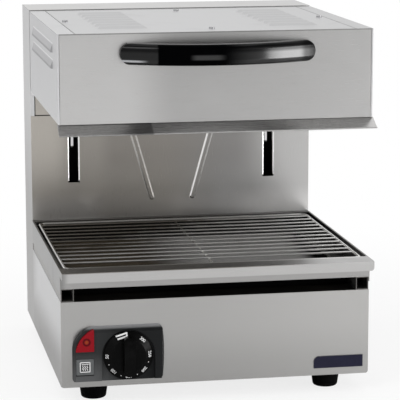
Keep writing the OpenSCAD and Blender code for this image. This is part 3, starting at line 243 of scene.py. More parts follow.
class Sheet(Finish):
    """Satin stainless sheet: brushed along one axis, then toned with grime, heat tint, and painted shade,
    light and reflections.
    """

    def brush(self, grain, tone, rough=0.3, streak=0.05, drift=0.0):
        """Fine lines, clouding and smudges. drift makes the tone paler or darker, from 1 to -1."""
        lines = self.noise(FINE_LINES, GRAIN_ALONG[grain], detail=2.0, roughness=0.7)
        wide_lines = self.noise(WIDE_LINES, GRAIN_ALONG[grain], detail=3.0, shift=(0.3, 0.1, 0.7))
        clouds = self.noise(5.5, detail=2.0)
        smudges = self.above(self.noise(17, detail=4.0, shift=(2.0, 1.0, 0.4)), (0.55, 0.75))
        shade = 1.0 + (lines - 0.5) * streak * 2.2 + (wide_lines - 0.5) * streak * 1.6
        shade = shade + (clouds - 0.5) * 0.10 + drift
        darkest, palest = scaled(tone, 1 - TONE_RANGE), scaled(tone, 1 + TONE_RANGE)
        self.color = self.mix((shade * 0.5).clamped(), darkest, palest)
        self.roughness = rough + (lines - 0.5) * 0.14 + smudges * 0.05
        self.normal = self.bump(lines + wide_lines * 0.5, 0.06, 0.05 * MM)

    def lay(self, mask, tone):
        """Puts another tone over the sheet where the mask is up."""
        self.color = self.mix(mask, self.color, tone)

    def done(self):
        return self.finish(
            Base_Color=self.color, Metallic=1.0, Roughness=self.roughness, Normal=self.normal,
        )


def cap_steel(name):
    """The column's top: plain brushed sheet."""
    s = Sheet(name)
    s.brush("X", (0.56, 0.555, 0.55), rough=0.32)
    return s.done()


def hood_front_steel(name):
    """The hood's front: a painted reflection across it, paler at its left end, darker behind the handle, a
    little paler again to the right.
    """
    s = Sheet(name)
    x = s.axis("X")
    # painted reflection: the tone drops behind the handle and lifts a little to the right
    painted_reflection = s.above(x, (-0.135, -0.055))
    right = s.above(x, (-0.05, 0.21))
    s.brush("X", (0.552, 0.547, 0.542), rough=0.3, drift=0.40 - painted_reflection * 1.2 + right * 0.22)
    seam = s.above(s.axis("Z"), HOOD_FACE_TOP_Z) * s.below(s.axis("Y"), HOOD_FACE_FRONT_Y)
    s.lay(seam * 0.8, (0.24, 0.24, 0.235))
    return s.done()


def flare_steel(name):
    """The flared lip under the hood: a painted reflection across it, darker at the left with a darker patch
    there, paler to the right.
    """
    s = Sheet(name)
    x = s.axis("X")
    # painted reflection: darker at the left, paler to the right
    painted_reflection_lift = s.above(x, (-0.100, -0.090))
    right = s.above(x, (-0.09, 0.16))
    s.brush("X", (0.46, 0.455, 0.45), rough=0.27, streak=0.02, drift=painted_reflection_lift * 0.62 + right * 1.10 - 0.62)
    # painted dark reflection in a patch at the left
    painted_dark_patch = s.between(x, (-0.140, -0.114), (-0.0960, -0.0925))
    s.lay(painted_dark_patch * 0.6, (0.10, 0.10, 0.10))
    return s.done()


def hood_side_steel(name):
    """The hood's sides: plain sheet, with painted shade on the louvres and on the right side, and darker on
    the top edge.
    """
    s = Sheet(name)
    x = s.axis("X")
    s.brush("Y", (0.72, 0.72, 0.73), rough=0.34, streak=0.03)
    # painted shade on the louvres
    s.lay(s.above(abs(x), HOOD_LOUVRE_OUT_X) * 0.9, (0.335, 0.335, 0.345))
    s.lay(s.above(s.axis("Z"), HOOD_SIDE_TOP_Z) * 0.6, (0.50, 0.50, 0.505))
    # painted shade on the right side, taking back some of the right lamp's light
    s.lay(s.above(x, (0.10, 0.20)) * 0.5, (0.48, 0.48, 0.48))
    return s.done()


def hood_top_steel(name):
    """The hood's top cover: plain sheet with a line of grime along its side seams."""
    s = Sheet(name)
    s.brush("X", (0.545, 0.545, 0.55), rough=0.34, streak=0.03)
    _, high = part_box("hood_top_cover")
    seam = s.above(abs(s.axis("X")), tuple(high[0] - inwards for inwards in HOOD_COVER_SEAM_IN))
    s.lay(seam * 0.75, (0.20, 0.20, 0.195))
    return s.done()


def base_side_steel(name):
    """The sides of the housing: darker low down and towards the back."""
    s = Sheet(name)
    s.brush("Y", (0.64, 0.64, 0.645), rough=0.34, streak=0.03)
    foot = s.below(s.axis("Z"), (0.050, 0.118))
    back = s.above(s.axis("Y"), (0.06, 0.20))
    s.lay(s.larger(foot * 0.9, back * 0.75), (0.33, 0.325, 0.32))
    return s.done()


def column_side_steel(name):
    """The sides of the column: lighter above, darker lower down beside the grid."""
    s = Sheet(name)
    s.brush("Z", (0.74, 0.74, 0.745), rough=0.34, streak=0.03)
    s.lay(s.below(s.axis("Z"), (0.165, 0.43)), (0.40, 0.395, 0.39))
    return s.done()


def base_front_steel(name):
    """The front panel of the housing: darker low down and beside the dial, paler to the right."""
    s = Sheet(name)
    foot = s.below(s.axis("Z"), (0.045, 0.115))
    right = s.above(s.axis("X"), (-0.07, 0.21))
    s.brush("X", (0.425, 0.42, 0.412), rough=0.32, drift=right * 0.5 - 0.2 - foot * 0.5)
    return s.done()


def rib_painted_highlight(s, x, z):
    """Painted highlights on the sides of the two pressed ribs, brightest on the right rib's inner side."""
    up = ((z - RIB_FOOT_Z) * (1 / (RIB_HEAD_Z - RIB_FOOT_Z))).clamped()
    crest = RIB_FOOT_X + up * (RIB_HEAD_X - RIB_FOOT_X)
    off = x - crest * s.maths("SIGN", x)
    sides = s.between(abs(off), RIB_TOP_X, RIB_SIDE_X)
    length = s.between(z, (RIB_FOOT_Z - RIB_END, RIB_FOOT_Z), (RIB_HEAD_Z, RIB_HEAD_Z + RIB_END))
    lit = s.below(off, (-0.001, 0.001)) * s.above(x, (0.0, 0.01))
    return sides * length * (0.30 + lit * 0.55)


def fold_painted_highlight(s, x, z):
    """Painted highlights on the folded edges of the two slots."""
    return s.below(abs(abs(x) - SLOT_X), SLOT_HALF_X) * s.between(z, SLOT_FOOT_Z, SLOT_HEAD_Z)


def column_steel(name):
    """The panel behind the grid: a painted warm reflection at the left, a painted dark reflection across the
    middle, painted light at its foot, painted highlights on ribs and folds.
    """
    s = Sheet(name)
    x, z = s.axis("X"), s.axis("Z")
    s.brush("Z", (0.475, 0.47, 0.465), rough=0.3, streak=0.02)
    # painted warm reflection at the left
    painted_warm_reflection = s.below(x, (-0.03, 0.10))
    s.lay(painted_warm_reflection * 0.6, (0.52, 0.475, 0.41))
    # painted dark reflection across the middle, strongest high up and at the very foot
    middle = s.between(x, (-0.195, -0.15), (0.10, 0.19)) * (0.72 + s.above(x, (-0.125, -0.09)) * 0.28)
    painted_dark_reflection = 0.16 + s.above(z, (0.22, 0.31)) * 0.42 + s.below(z, (0.200, 0.213)) * 0.26
    s.lay((middle * painted_dark_reflection).clamped(), (0.122, 0.113, 0.106))
    # painted light at the foot, lifting the real shade there
    painted_light_right = s.above(x, (0.06, 0.15)) * (0.75 - s.above(x, (0.165, 0.200)) * 0.40)
    painted_light_left = s.below(x, (-0.15, -0.09)) * 0.28
    foot = s.below(z, (0.211, 0.248))
    s.lay((0.20 + painted_light_right + painted_light_left) * foot, (0.74, 0.73, 0.72))
    # painted highlights on the ribs and the slot folds
    bright = s.larger(rib_painted_highlight(s, x, z), fold_painted_highlight(s, x, z))
    s.lay(bright, (0.95, 0.94, 0.93))
    s.roughness = s.roughness - bright * 0.08
    return s.done()


def pan_steel(name):
    """The pan: a painted highlight along its lip's edge, a painted dark reflection on its skirts and painted
    shade under the lip, a warm tint on its rim, dark on the inner rim and near black inside its walls,
    darker at its left end.
    """
    s = Sheet(name)
    x, y, z = s.axis("X"), s.axis("Y"), s.axis("Z")
    s.brush("X", (0.485, 0.48, 0.475), rough=0.3)
    patchy = 0.8 + s.noise(26, detail=4.0) * 0.2
    skirt = s.above(abs(x), PAN_SKIRT_OUT_X) * s.above(y, PAN_SKIRT_FRONT_Y)
    painted_shade_under_lip = s.below(z, PAN_LIP_FOOT_Z)
    rim = s.above(z, PAN_RIM_Z)
    # painted dark reflection on the skirts
    s.lay(skirt * patchy, (0.27, 0.27, 0.265))
    # painted shade under the lip
    s.lay(painted_shade_under_lip * (1.0 - skirt) * 0.8, (0.33, 0.325, 0.32))
    s.lay(rim * s.below(x, (0.02, 0.18)) * patchy, (0.175, 0.163, 0.147))
    inner = s.larger(s.above(abs(x), PAN_INNER_X), s.above(y, PAN_INNER_BACK_Y))
    s.lay(rim * inner * s.above(y, PAN_INNER_FRONT_Y) * 0.85, (0.060, 0.055, 0.048))
    within = s.below(abs(x), PAN_WALL_X) * s.above(y, PAN_WALL_FRONT_Y)
    s.lay(within * (1.0 - rim) * 0.95, (0.012, 0.011, 0.010))
    # painted highlight along the front rim's edge, stronger to the right
    edge = rim * s.between(y, PAN_EDGE_FRONT_Y, PAN_EDGE_BACK_Y) * s.below(abs(x), PAN_EDGE_END_X)
    s.lay(edge * (0.4 + s.above(x, (-0.15, 0.02)) * 0.4), (0.78, 0.77, 0.75))
    corner = s.below(x, PAN_CORNER_X) * (1.0 - rim) * (1.0 - skirt)
    s.lay(corner * 0.8, (0.22, 0.22, 0.215))
    s.roughness = s.roughness + rim * 0.05
    return s.done()


def rail_steel(name):
    """The tray's box rails: dull with burnt fat, most of all on their cut front edges."""
    s = Sheet(name)
    s.brush("Y", (0.34, 0.335, 0.325), rough=0.38, streak=0.03)
    s.lay(s.below(s.axis("Y"), RAIL_CUT_Y) * 0.85, (0.10, 0.095, 0.09))
    return s.done()


def rear_steel(name):
    """The rear cover: brushed outside; inside, painted shade makes it dark, and it is left duller."""
    s = Sheet(name)
    s.brush("X", (0.52, 0.515, 0.51), rough=0.34)
    # painted shade on the inner face
    inside = s.below(s.axis("Y"), REAR_COVER_SKIN_Y)
    s.lay(inside, (0.035, 0.034, 0.033))
    s.roughness = s.roughness + inside * 0.25
    return s.done()


# ---------- other metal ----------

def burnt_steel(name):
    """Sheet under a crust of burnt drips."""
    f = Finish(name)
    burnt = f.noise(18, detail=5.0)
    color = f.mix(burnt, (0.003, 0.0028, 0.0025), (0.012, 0.0105, 0.009))
    return f.finish(
        Base_Color=color, Metallic=0.05, Roughness=0.7 + burnt * 0.2, Specular_IOR_Level=0.02,
        Normal=f.bump(burnt, 0.1, 0.4 * MM),
    )


def mill_steel(name):
    """Unfinished galvanised sheet with a faint spangle."""
    f = Finish(name)
    tone = (0.5, 0.5, 0.5)
    spangle = {"Vector": f.place(), "Scale": 140}
    cell_color = f.node("ShaderNodeTexVoronoi", {"feature": "F1"}, spangle, output="Color")
    cell = f.node("ShaderNodeSeparateColor", inputs={0: cell_color})
    grain = f.noise(60, detail=4.0)
    color = f.mix((cell * 0.35 + grain * 0.5).clamped(), scaled(tone, 0.82), scaled(tone, 1.15))
    return f.finish(Base_Color=color, Metallic=1.0, Roughness=0.34 + grain * 0.16)


def ground_steel(name):
    """Ground and polished rod or cut plate, with turning lines and a film of oil."""
    f = Finish(name)
    turns = f.noise(1800, (0.1, 0.1, 1.0), detail=2.0)
    film = f.above(f.noise(30, detail=4.0), (0.5, 0.8))
    color = f.mix(film, (0.66, 0.66, 0.67), (0.52, 0.51, 0.49))
    return f.finish(
        Base_Color=color, Metallic=1.0, Roughness=0.14 + film * 0.12,
        Normal=f.bump(turns, 0.08, 0.05 * MM),
    )


def milled_aluminium(name):
    f = Finish(name)
    cutter = f.noise(900, (1, 0.08, 1), detail=2.0)
    blotch = f.noise(24, detail=3.0)
    color = f.mix(blotch, (0.55, 0.56, 0.57), (0.70, 0.71, 0.72))
    return f.finish(
        Base_Color=color, Metallic=1.0, Roughness=0.32 + cutter * 0.12,
        Normal=f.bump(cutter, 0.12, 0.1 * MM),
    )


def sintered_bronze(name):
    f = Finish(name)
    pores = f.noise(1500, detail=2.0)
    color = f.mix(pores, (0.42, 0.27, 0.12), (0.66, 0.47, 0.24))
    return f.finish(Base_Color=color, Metallic=1.0, Roughness=0.4 + pores * 0.2)


def zinc_screw(name):
    f = Finish(name)
    film = f.noise(260, detail=4.0)
    color = f.mix(film, (0.30, 0.30, 0.31), (0.55, 0.55, 0.56))
    return f.finish(Base_Color=color, Metallic=1.0, Roughness=0.28 + film * 0.2)


def oven_wire(name):
    """Plated grid wire: painted highlights on the wire tops, the ends and the front and back frame; turned
    brown by heat and fat towards the column, where a painted dark reflection is laid in as well.
    """
    f = Finish(name)
    x, y, z = f.axis("X"), f.axis("Y"), f.axis("Z")
    # towards the column: partly heat and fat, partly painted dark reflection
    near_column = f.above(y - x * 0.9, (-0.18, 0.19))
    patches = f.above(f.noise(14, detail=5.0, roughness=0.6), (0.36, 0.66))
    browned_and_painted_dark = (patches * 0.2 + near_column * 1.05).clamped()
    specks = f.above(f.noise(700, detail=3.0, shift=(0.7, 0.1, 0.3)), (0.58, 0.7))
    stain_and_painted_dark = (browned_and_painted_dark * 0.92 + specks * 0.08).clamped()
    color = f.mix(stain_and_painted_dark, (0.88, 0.87, 0.85), (0.088, 0.075, 0.057))
    # painted highlights on the tops of the wires, the ends and the frame
    painted_highlight_tops = f.above(z, GRID_TOP_Z) * (1.0 - browned_and_painted_dark)
    ends = f.above(abs(x), GRID_END_X)
    front_and_back = f.larger(f.below(y, GRID_FRONT_Y), f.above(y, GRID_BACK_Y) * 0.3)
    painted_reflection = f.larger(painted_highlight_tops * 0.6, f.larger(ends * 0.8, front_and_back))
    return f.finish(
        Base_Color=f.mix(painted_reflection, color, (0.97, 0.96, 0.94)), Metallic=1.0,
        Roughness=0.3 + browned_and_painted_dark * 0.2 + specks * 0.06,
        Normal=f.bump(specks, 0.04, 0.1 * MM),
    )


def heater_sheath(name):
    """Heating tube: grey-green oxide with paler stretches."""
    f = Finish(name)
    oxide = f.noise(38, detail=5.0)
    stretches = f.noise(9, (0.4, 1, 1), detail=2.0, shift=(0.5, 0.5, 0.5))
    color = f.mix(oxide, (0.11, 0.105, 0.095), (0.23, 0.22, 0.205))
    color = f.mix(f.above(stretches, (0.52, 0.7)) * 0.4, color, (0.30, 0.25, 0.20))
    return f.finish(
        Base_Color=color, Metallic=0.6, Roughness=0.5 + oxide * 0.2,
        Normal=f.bump(f.noise(1600), 0.2, 0.1 * MM),
    )


# ---------- enamel, plastics and the rest ----------

def tray_enamel(name):
    """Vitreous enamel: black in front and at the right, where the black also stands as painted shade in the
    slot and by the right wall; baked brown at the left, scoured grey in between.
    """
    f = Finish(name)
    x = f.axis("X")
    flecks = f.above(f.noise(900, detail=1.0), (0.68, 0.74))
    peel = f.noise(160, detail=2.0, shift=(0.2, 0.5, 0.1))
    # black in front of this, where the tray sits in the shaded slot, also stands as painted shade
    inside = f.above(f.axis("Y"), TRAY_FRONT_Y)
    baked = f.below(x, (-0.1, 0.06))
    # the grey stops short of the right wall, leaving black there as painted shade
    scoured = f.between(x, (-0.07, 0.05), (0.172, 0.2035))
    color = f.mix(flecks * 0.2 * inside, (0.0006, 0.0006, 0.0006), (0.12, 0.12, 0.125))
    color = f.mix(inside * baked * (0.6 + peel * 0.4), color, (0.085, 0.070, 0.050))
    color = f.mix(inside * scoured * (0.7 + peel * 0.3), color, (0.52, 0.51, 0.50))
    return f.finish(
        Base_Color=color, Roughness=0.45 + peel * 0.1, Specular_IOR_Level=0.03,
        Normal=f.bump(peel, 0.1, 0.2 * MM),
    )


def black_paint(name):
    f = Finish(name)
    peel = f.noise(420, detail=2.0)
    color = f.mix(peel, (0.012, 0.012, 0.013), (0.022, 0.022, 0.023))
    return f.finish(
        Base_Color=color, Roughness=0.25 + peel * 0.1, Specular_IOR_Level=0.3,
        Normal=f.bump(peel, 0.1, 0.1 * MM),
    )


def handle_thermoset(name):
    """Black thermoset: polished at both ends, along its top and in a patch, with a painted highlight at the
    lower left.
    """
    f = Finish(name)
    x, z = f.axis("X"), f.axis("Z")
    left = f.below(x, (-0.0910, -0.0880)) * 0.42
    right = f.above(x, (-0.002, 0.045)) * 0.56 + f.above(x, (0.065, 0.090)) * 0.20
    right_end = f.above(x, (0.112, 0.124)) * 0.46
    patch = f.between(x, (-0.048, -0.036), (-0.010, 0.006))
    patch = patch * f.between(z, (0.4968, 0.4996), (0.5030, 0.5062))
    hands = left + right - right_end + patch * 0.95
    below_top = 1.0 - f.above(z, (0.5060, 0.5105)) * 0.6
    gloss = f.larger(hands * below_top, f.above(z, HANDLE_TOP_Z))
    swirl = f.noise(11, detail=3.0)
    dust = f.above(f.noise(55, detail=5.0, shift=(1, 2, 3)), (0.5, 0.85))
    color = f.mix(swirl, (0.0005, 0.0005, 0.0006), (0.0010, 0.0011, 0.0014))
    color = f.mix(dust * 0.15, color, (0.008, 0.0085, 0.010))
    # painted highlight along the lower left edge
    painted_reflection = f.below(x, (-0.118, -0.100)) * f.between(z, (0.4933, 0.4947), (0.4958, 0.4976))
    return f.finish(
        Base_Color=f.mix(painted_reflection * 0.75, color, (0.50, 0.51, 0.53)),
        Roughness=0.3 + dust * 0.1, Specular_IOR_Level=0.005,
        Coat_Weight=gloss.clamped(), Coat_Roughness=0.17, Coat_IOR=1.7,
        Normal=f.bump(swirl, 0.05, 0.4 * MM),
    )


def knob_plastic(name):
    f = Finish(name)
    grain = f.noise(1500, detail=2.0)
    dust = f.above(f.noise(70, detail=5.0), (0.5, 0.85))
    color = f.mix(dust * 0.5, (0.002, 0.002, 0.002), (0.008, 0.0075, 0.008))
    return f.finish(
        Base_Color=color, Roughness=0.24 + grain * 0.08 + dust * 0.1, Specular_IOR_Level=0.05,
        Normal=f.bump(grain, 0.06, 0.1 * MM),
    )


TILE_SHADOW_H = 2.0 * MM
TILE_SHADOW_FADE_DOWN = 0.6 * MM
TILE_SHADOW_FADE_UP = 0.5 * MM
TILE_SHADOW_FADE_SIDE = 0.4 * MM


def tile_painted_shadow(f, x, z):
    """A painted shadow under the tile's lower edge."""
    low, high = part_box("symbol_tile")
    left, right, top = low[0], high[0], low[2]
    foot = top - TILE_SHADOW_H
    upright = f.between(z, (foot, foot + TILE_SHADOW_FADE_DOWN), (top, top + TILE_SHADOW_FADE_UP))
    across = f.between(x, (left - TILE_SHADOW_FADE_SIDE, left), (right, right + TILE_SHADOW_FADE_SIDE))
    return upright * across


def bezel_plastic(name):
    """Dark grey moulding with a fine spark-eroded texture, with painted light at its lower left and on its
    top bevel, and a painted shadow under the tile.
    """
    f = Finish(name)
    x, z = f.axis("X"), f.axis("Z")
    texture = f.noise(2400, detail=2.0)
    clouds = f.noise(14, detail=3.0)
    # painted light at the lower left
    left = f.below(x, (-0.185, -0.13))
    lower = f.below(z, (0.036, 0.098))
    pale = f.larger(lower * left * 0.8, left * 0.16)
    color = f.mix((clouds * 0.1 + pale).clamped(), (0.004, 0.0045, 0.005), (0.090, 0.092, 0.094))
    # painted light on the top bevel
    color = f.mix(f.above(z, BEZEL_TOP_Z) * 0.85, color, (0.30, 0.303, 0.31))
    # painted shadow under the tile
    color = f.mix(tile_painted_shadow(f, x, z) * 0.92, color, (0.002, 0.002, 0.002))
    return f.finish(
        Base_Color=color, Roughness=0.36 + texture * 0.12, Specular_IOR_Level=0.12,
        Normal=f.bump(texture, 0.2, 0.1 * MM),
    )


def gland_nylon(name):
    f = Finish(name)
    grain = f.noise(900, detail=2.0)
    color = f.mix(grain, (0.016, 0.016, 0.017), (0.03, 0.03, 0.031))
    return f.finish(Base_Color=color, Roughness=0.45 + grain * 0.15, Normal=f.bump(grain, 0.15, 0.1 * MM))


def foot_rubber(name):
    """Moulded rubber, dulled by dust near the worktop."""
    f = Finish(name)
    grain = f.noise(1100, detail=3.0)
    dusty = f.below(f.axis("Z"), (0.001, 0.010)) * f.above(f.noise(90, detail=4.0), (0.35, 0.7))
    color = f.mix(dusty * 0.3, (0.0015, 0.0015, 0.0015), (0.012, 0.012, 0.011))
    return f.finish(
        Base_Color=color, Roughness=0.62 + grain * 0.2, Specular_IOR_Level=0.04,
        Normal=f.bump(grain, 0.2, 0.2 * MM),
    )


def lens_red(name, lamp):
    """Red lens: bright in the middle where the neon shows, with a dark ring round it."""
    f = Finish(name)
    away = f.length(f.vector("MULTIPLY", f.vector("SUBTRACT", f.place(), lamp), (1, 0, 1)))
    ribs = f.node("ShaderNodeTexWave", {"wave_profile": "SIN"}, {"Vector": f.place(), "Scale": 260})
    glow = f.below(away, (0.0008, 0.0036))
    ring = f.between(away, (0.0022, 0.0042), (0.0046, 0.0070))
    color = f.mix(ring * 0.85, (0.215, 0.004, 0.009), (0.045, 0.001, 0.002))
    color = f.mix(glow * 0.85, color, (0.22, 0.045, 0.008))
    return f.finish(
        Base_Color=color, Roughness=0.2 + ring * 0.05, Specular_IOR_Level=0.1,
        Normal=f.bump(ribs, 0.06, 0.1 * MM),
    )


def tile_print(name, tone, spread=0.25):
    """A thin print or a small moulded face, a little uneven."""
    f = Finish(name)
    uneven = f.noise(380, detail=4.0)
    color = f.mix(uneven, scaled(tone, 1 - spread), tone)
    return f.finish(Base_Color=color, Roughness=0.4 + uneven * 0.15)


def badge_enamel(name):
    f = Finish(name)
    depth = f.noise(45, detail=3.0)
    flake = f.above(f.noise(1900, detail=1.0), (0.62, 0.8))
    color = f.mix(depth, (0.007, 0.007, 0.018), (0.013, 0.013, 0.032))
    return f.finish(
        Base_Color=f.mix(flake * 0.3, color, (0.06, 0.07, 0.13)),
        Roughness=0.24 + depth * 0.1, Specular_IOR_Level=0.15,
    )


def phenolic(name):
    f = Finish(name)
    mottle = f.noise(85, detail=5.0)
    color = f.mix(mottle, (0.52, 0.47, 0.36), (0.74, 0.70, 0.58))
    return f.finish(Base_Color=color, Roughness=0.4 + mottle * 0.15)


def steatite(name):
    f = Finish(name)
    speck = f.above(f.noise(600, detail=2.0), (0.62, 0.7))
    color = f.mix(speck * 0.5, (0.80, 0.78, 0.72), (0.55, 0.50, 0.42))
    return f.finish(Base_Color=color, Roughness=0.3 + speck * 0.3)


def fibre_blanket(name):
    f = Finish(name)
    tufts = f.noise(240, (1, 1, 3), detail=6.0, roughness=0.7)
    color = f.mix(tufts, (0.60, 0.57, 0.50), (0.86, 0.84, 0.79))
    return f.finish(Base_Color=color, Roughness=0.95, Normal=f.bump(tufts, 0.8, 2.0 * MM))


def lamp_glass(name):
    f = Finish(name)
    soot = f.noise(300, detail=3.0)
    color = f.mix(soot, (0.85, 0.35, 0.12), (0.95, 0.55, 0.25))
    return f.finish(
        Base_Color=color, Roughness=0.08 + soot * 0.05, Transmission_Weight=0.5,
        Emission_Color=color, Emission_Strength=0.4,
    )


# ---------- finishes on the frame's nodes ----------

LAMP_OFF_CENTRE = Vector((-2.0, 0.0, 3.5)) * MM


def wear(material, *names):
    """Puts a finish on carried-over nodes."""
    for name in names:
        mesh = NODES[name].data
        mesh.materials.clear()
        mesh.materials.append(material)


def centre(name):
    low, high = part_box(name)
    return (Vector(low) + Vector(high)) / 2


def dress_outside():
    """The casing, the hood and what is fixed to their faces."""
    wear(cap_steel("steel_across"), "column_top_cap")
    wear(column_steel("steel_upright"), "column_front_panel", "column_upper_plate")
    wear(column_side_steel("steel_column_sides"), "column_side_left", "column_side_right")
    wear(rear_steel("steel_rear"), "column_rear_cover")
    wear(base_front_steel("steel_base_front"), "base_front_panel")
    wear(base_side_steel("steel_base_sides"), "base_side_left", "base_side_right")
    wear(pan_steel("steel_pan"), "top_pan")
    wear(hood_front_steel("steel_hood_front"), "hood_front_panel", "hood_back_plate")
    wear(hood_side_steel("steel_hood_sides"), "hood_side_left", "hood_side_right")
    wear(hood_top_steel("steel_top"), "hood_top_cover")
    wear(flare_steel("steel_flare"), "hood_lip")
    wear(handle_thermoset("handle_thermoset"), "handle")
    wear(knob_plastic("knob_plastic"), "knob")
    wear(bezel_plastic("bezel_plastic"), "control_bezel")
    wear(lens_red("lens_red", centre("pilot_lamp") + LAMP_OFF_CENTRE), "pilot_lens")
    wear(tile_print("tile_grey", (0.085, 0.09, 0.092)), "symbol_tile")
    wear(badge_enamel("badge_blue"), "blank_badge")
    wear(gland_nylon("gland_nylon"), "cable_gland")
    wear(
        foot_rubber("foot_rubber"), "foot_front_left", "foot_front_right", "foot_rear_left",
        "foot_rear_right",
    )


def dress_cooking_parts():
    wear(oven_wire("grid_wire"), "wire_grid")
    wear(tray_enamel("tray_enamel"), "drip_tray")
    wear(rail_steel("steel_rail"), "tray_rail_left", "tray_rail_right")
    wear(burnt_steel("steel_deck"), "base_deck")
    wear(heater_sheath("heater_sheath"), "element_front", "element_rear")
    wear(steatite("terminal_steatite"), "element_terminals")
    wear(fibre_blanket("blanket_fibre"), "insulation")


def dress_inside():
    """The lift, the heat control and the fixings."""
    wear(
        mill_steel("steel_mill"), "base_floor", "reflector", "element_supports", "lower_crossbar",
        "upper_crossbar",
    )
    wear(
        ground_steel("rod_ground"), "guide_rod_left", "guide_rod_right", "strut_rods", "arm_left",
        "arm_right",
    )
    wear(milled_aluminium("block_aluminium"), "slider_block_left", "slider_block_right", "carriage_bar")
    wear(sintered_bronze("bush_bronze"), "slider_bushes")
    wear(black_paint("strut_paint"), "strut_tubes")
    wear(phenolic("control_phenolic"), "heat_control", "terminal_block")
    wear(lamp_glass("lamp_glass"), "pilot_lamp")
    wear(
        zinc_screw("screw_zinc"), "foot_screws", "rear_cover_screws", "hood_cover_screws", "handle_screws",
        "strut_pins", "knob_spindle",
    )


# ---------- printed signs ----------

def add_piece(name, mesh, material, body):
    piece = bpy.data.objects.new(name, mesh)
    bpy.context.scene.collection.objects.link(piece)
    mesh.materials.clear()
    mesh.materials.append(material)
    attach(piece, body)


def prism_mesh(name, outlines, back, front, place):
    """Extrudes outlines, drawn as seen from the front, from back to front; place puts a point in 3D."""
    bm = bmesh.new()
    for outline in outlines:
        near = [bm.verts.new(place(x, z, front)) for x, z in outline]
        far = [bm.verts.new(place(x, z, back)) for x, z in outline]
        bm.faces.new(near)
        bm.faces.new(list(reversed(far)))
        count = len(outline)
        for i in range(count):
            j = (i + 1) % count
            bm.faces.new((near[j], near[i], far[i], far[j]))
    bmesh.ops.recalc_face_normals(bm, faces=bm.faces)
    mesh = bpy.data.meshes.new(name)
    bm.to_mesh(mesh)
    bm.free()
    return mesh


def stroke(points, width):
    """The outline of a line of even width through points."""
    left, right = [], []
    for i, (x, z) in enumerate(points):
        ax, az = points[max(i - 1, 0)]
        bx, bz = points[min(i + 1, len(points) - 1)]
        length = math.hypot(bx - ax, bz - az)
        nx, nz = -(bz - az) / length * width / 2, (bx - ax) / length * width / 2
        left.append((x + nx, z + nz))
        right.append((x - nx, z - nz))
    return left + right[::-1]


def rectangle(x0, z0, x1, z1):
    return [(x0, z0), (x1, z0), (x1, z1), (x0, z1)]


SIGN_HALF = 6.9 * MM
SIGN_FRAME_W = 1.15 * MM
SIGN_SUNK = 0.02 * MM
SIGN_PROUD = 0.08 * MM
FIELD_PROUD = 0.04 * MM
COIL_W = 1.0 * MM
COIL_UP = 4.1 * MM
COIL_STEP = 1.6 * MM
COIL_SWING = 0.8 * MM
WAVE_W = 0.9 * MM
WAVE_APART = 3.0 * MM
WAVE_FOOT = -4.8 * MM
WAVE_STEP = 0.62 * MM
WAVE_SWING = 0.7 * MM
WAVE_TURN = 1.05
WAVE_POINTS = 12


def sign_outlines():
    """The sign for an oven with heat: a square frame with a heating coil above and three rising waves."""
    half, line = SIGN_HALF, SIGN_FRAME_W / 2
    outlines = []
    for s in (-1, 1):
        outlines.append(rectangle(-half, s * half - line, half, s * half + line))
        outlines.append(rectangle(s * half - line, -half, s * half + line, half))
    coil = [(i * COIL_STEP, COIL_UP + (COIL_SWING if i % 2 else -COIL_SWING)) for i in range(-3, 4)]
    outlines.append(stroke(coil, COIL_W))
    for middle in (-WAVE_APART, 0, WAVE_APART):
        wave = [
            (middle + WAVE_SWING * math.sin(i * WAVE_TURN), WAVE_FOOT + WAVE_STEP * i)
            for i in range(WAVE_POINTS)
        ]
        outlines.append(stroke(wave, WAVE_W))
    return outlines


def sign_on_tile(material, field_material):
    """The sign and the dark field behind it, printed on the front of the tile."""
    low, high = (Vector(c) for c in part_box("symbol_tile"))
    mid = (low + high) / 2
    field_outlines = [rectangle(-SIGN_HALF, -SIGN_HALF, SIGN_HALF, SIGN_HALF)]

    def place(x, z, y):
        return (mid.x + x, y, mid.z + z)

    sign = prism_mesh("tile_sign", sign_outlines(), low.y + SIGN_SUNK, low.y - SIGN_PROUD, place)
    add_piece("tile_sign", sign, material, "casing")
    field = prism_mesh("tile_field", field_outlines, low.y + SIGN_SUNK, low.y - FIELD_PROUD, place)
    add_piece("tile_field", field, field_material, "casing")


KNOB_FACE_SHARE = 0.7
KNOB_RIM_T = 2.5 * MM
KNOB_SKIRT_T = 8.0 * MM
DIAL_NUMBERS = (("50", 270), ("100", 224), ("150", 179), ("200", 133), ("250", 88), ("300", 42))
DIAL_DOTS = (247, 201, 156, 110)
DIAL_BAND_OUT = 0.4 * MM
NUMBER_SIZE = 6.3 * MM
NUMBER_WEIGHT = 0.006
DOT_R = 0.7 * MM
PRINT_PROUD = 0.08 * MM
# two white bars printed on the skirt as a painted reflection of a light
GLINT_ANGLE = -17
GLINT_BAR_HALF_W = 1.1 * MM
GLINT_OUTER_HALF, GLINT_INNER_HALF = 8.6 * MM, 7.6 * MM
GLINT_OUTER_UP, GLINT_INNER_DOWN = 1.9 * MM, 2.2 * MM
GLINT_END = (6.2 * MM, -1.2 * MM, 7.9 * MM, 1.2 * MM)


def number_faces(text, size):
    """The faces of a number as lists of points about its own middle, standing on the X axis."""
    curve = bpy.data.curves.new("number", "FONT")
    curve.body = text
    curve.size = size
    curve.align_x = "CENTER"
    curve.align_y = "CENTER"
    curve.resolution_u = 3
    curve.offset = size * NUMBER_WEIGHT
    holder = bpy.data.objects.new("number", curve)
    bpy.context.scene.collection.objects.link(holder)
    bpy.context.view_layer.update()
    mesh = bpy.data.meshes.new_from_object(holder)
    faces = [[(mesh.vertices[i].co.x, mesh.vertices[i].co.y) for i in p.vertices] for p in mesh.polygons]
    bpy.data.objects.remove(holder)
    bpy.data.curves.remove(curve)
    bpy.data.meshes.remove(mesh)
    return faces


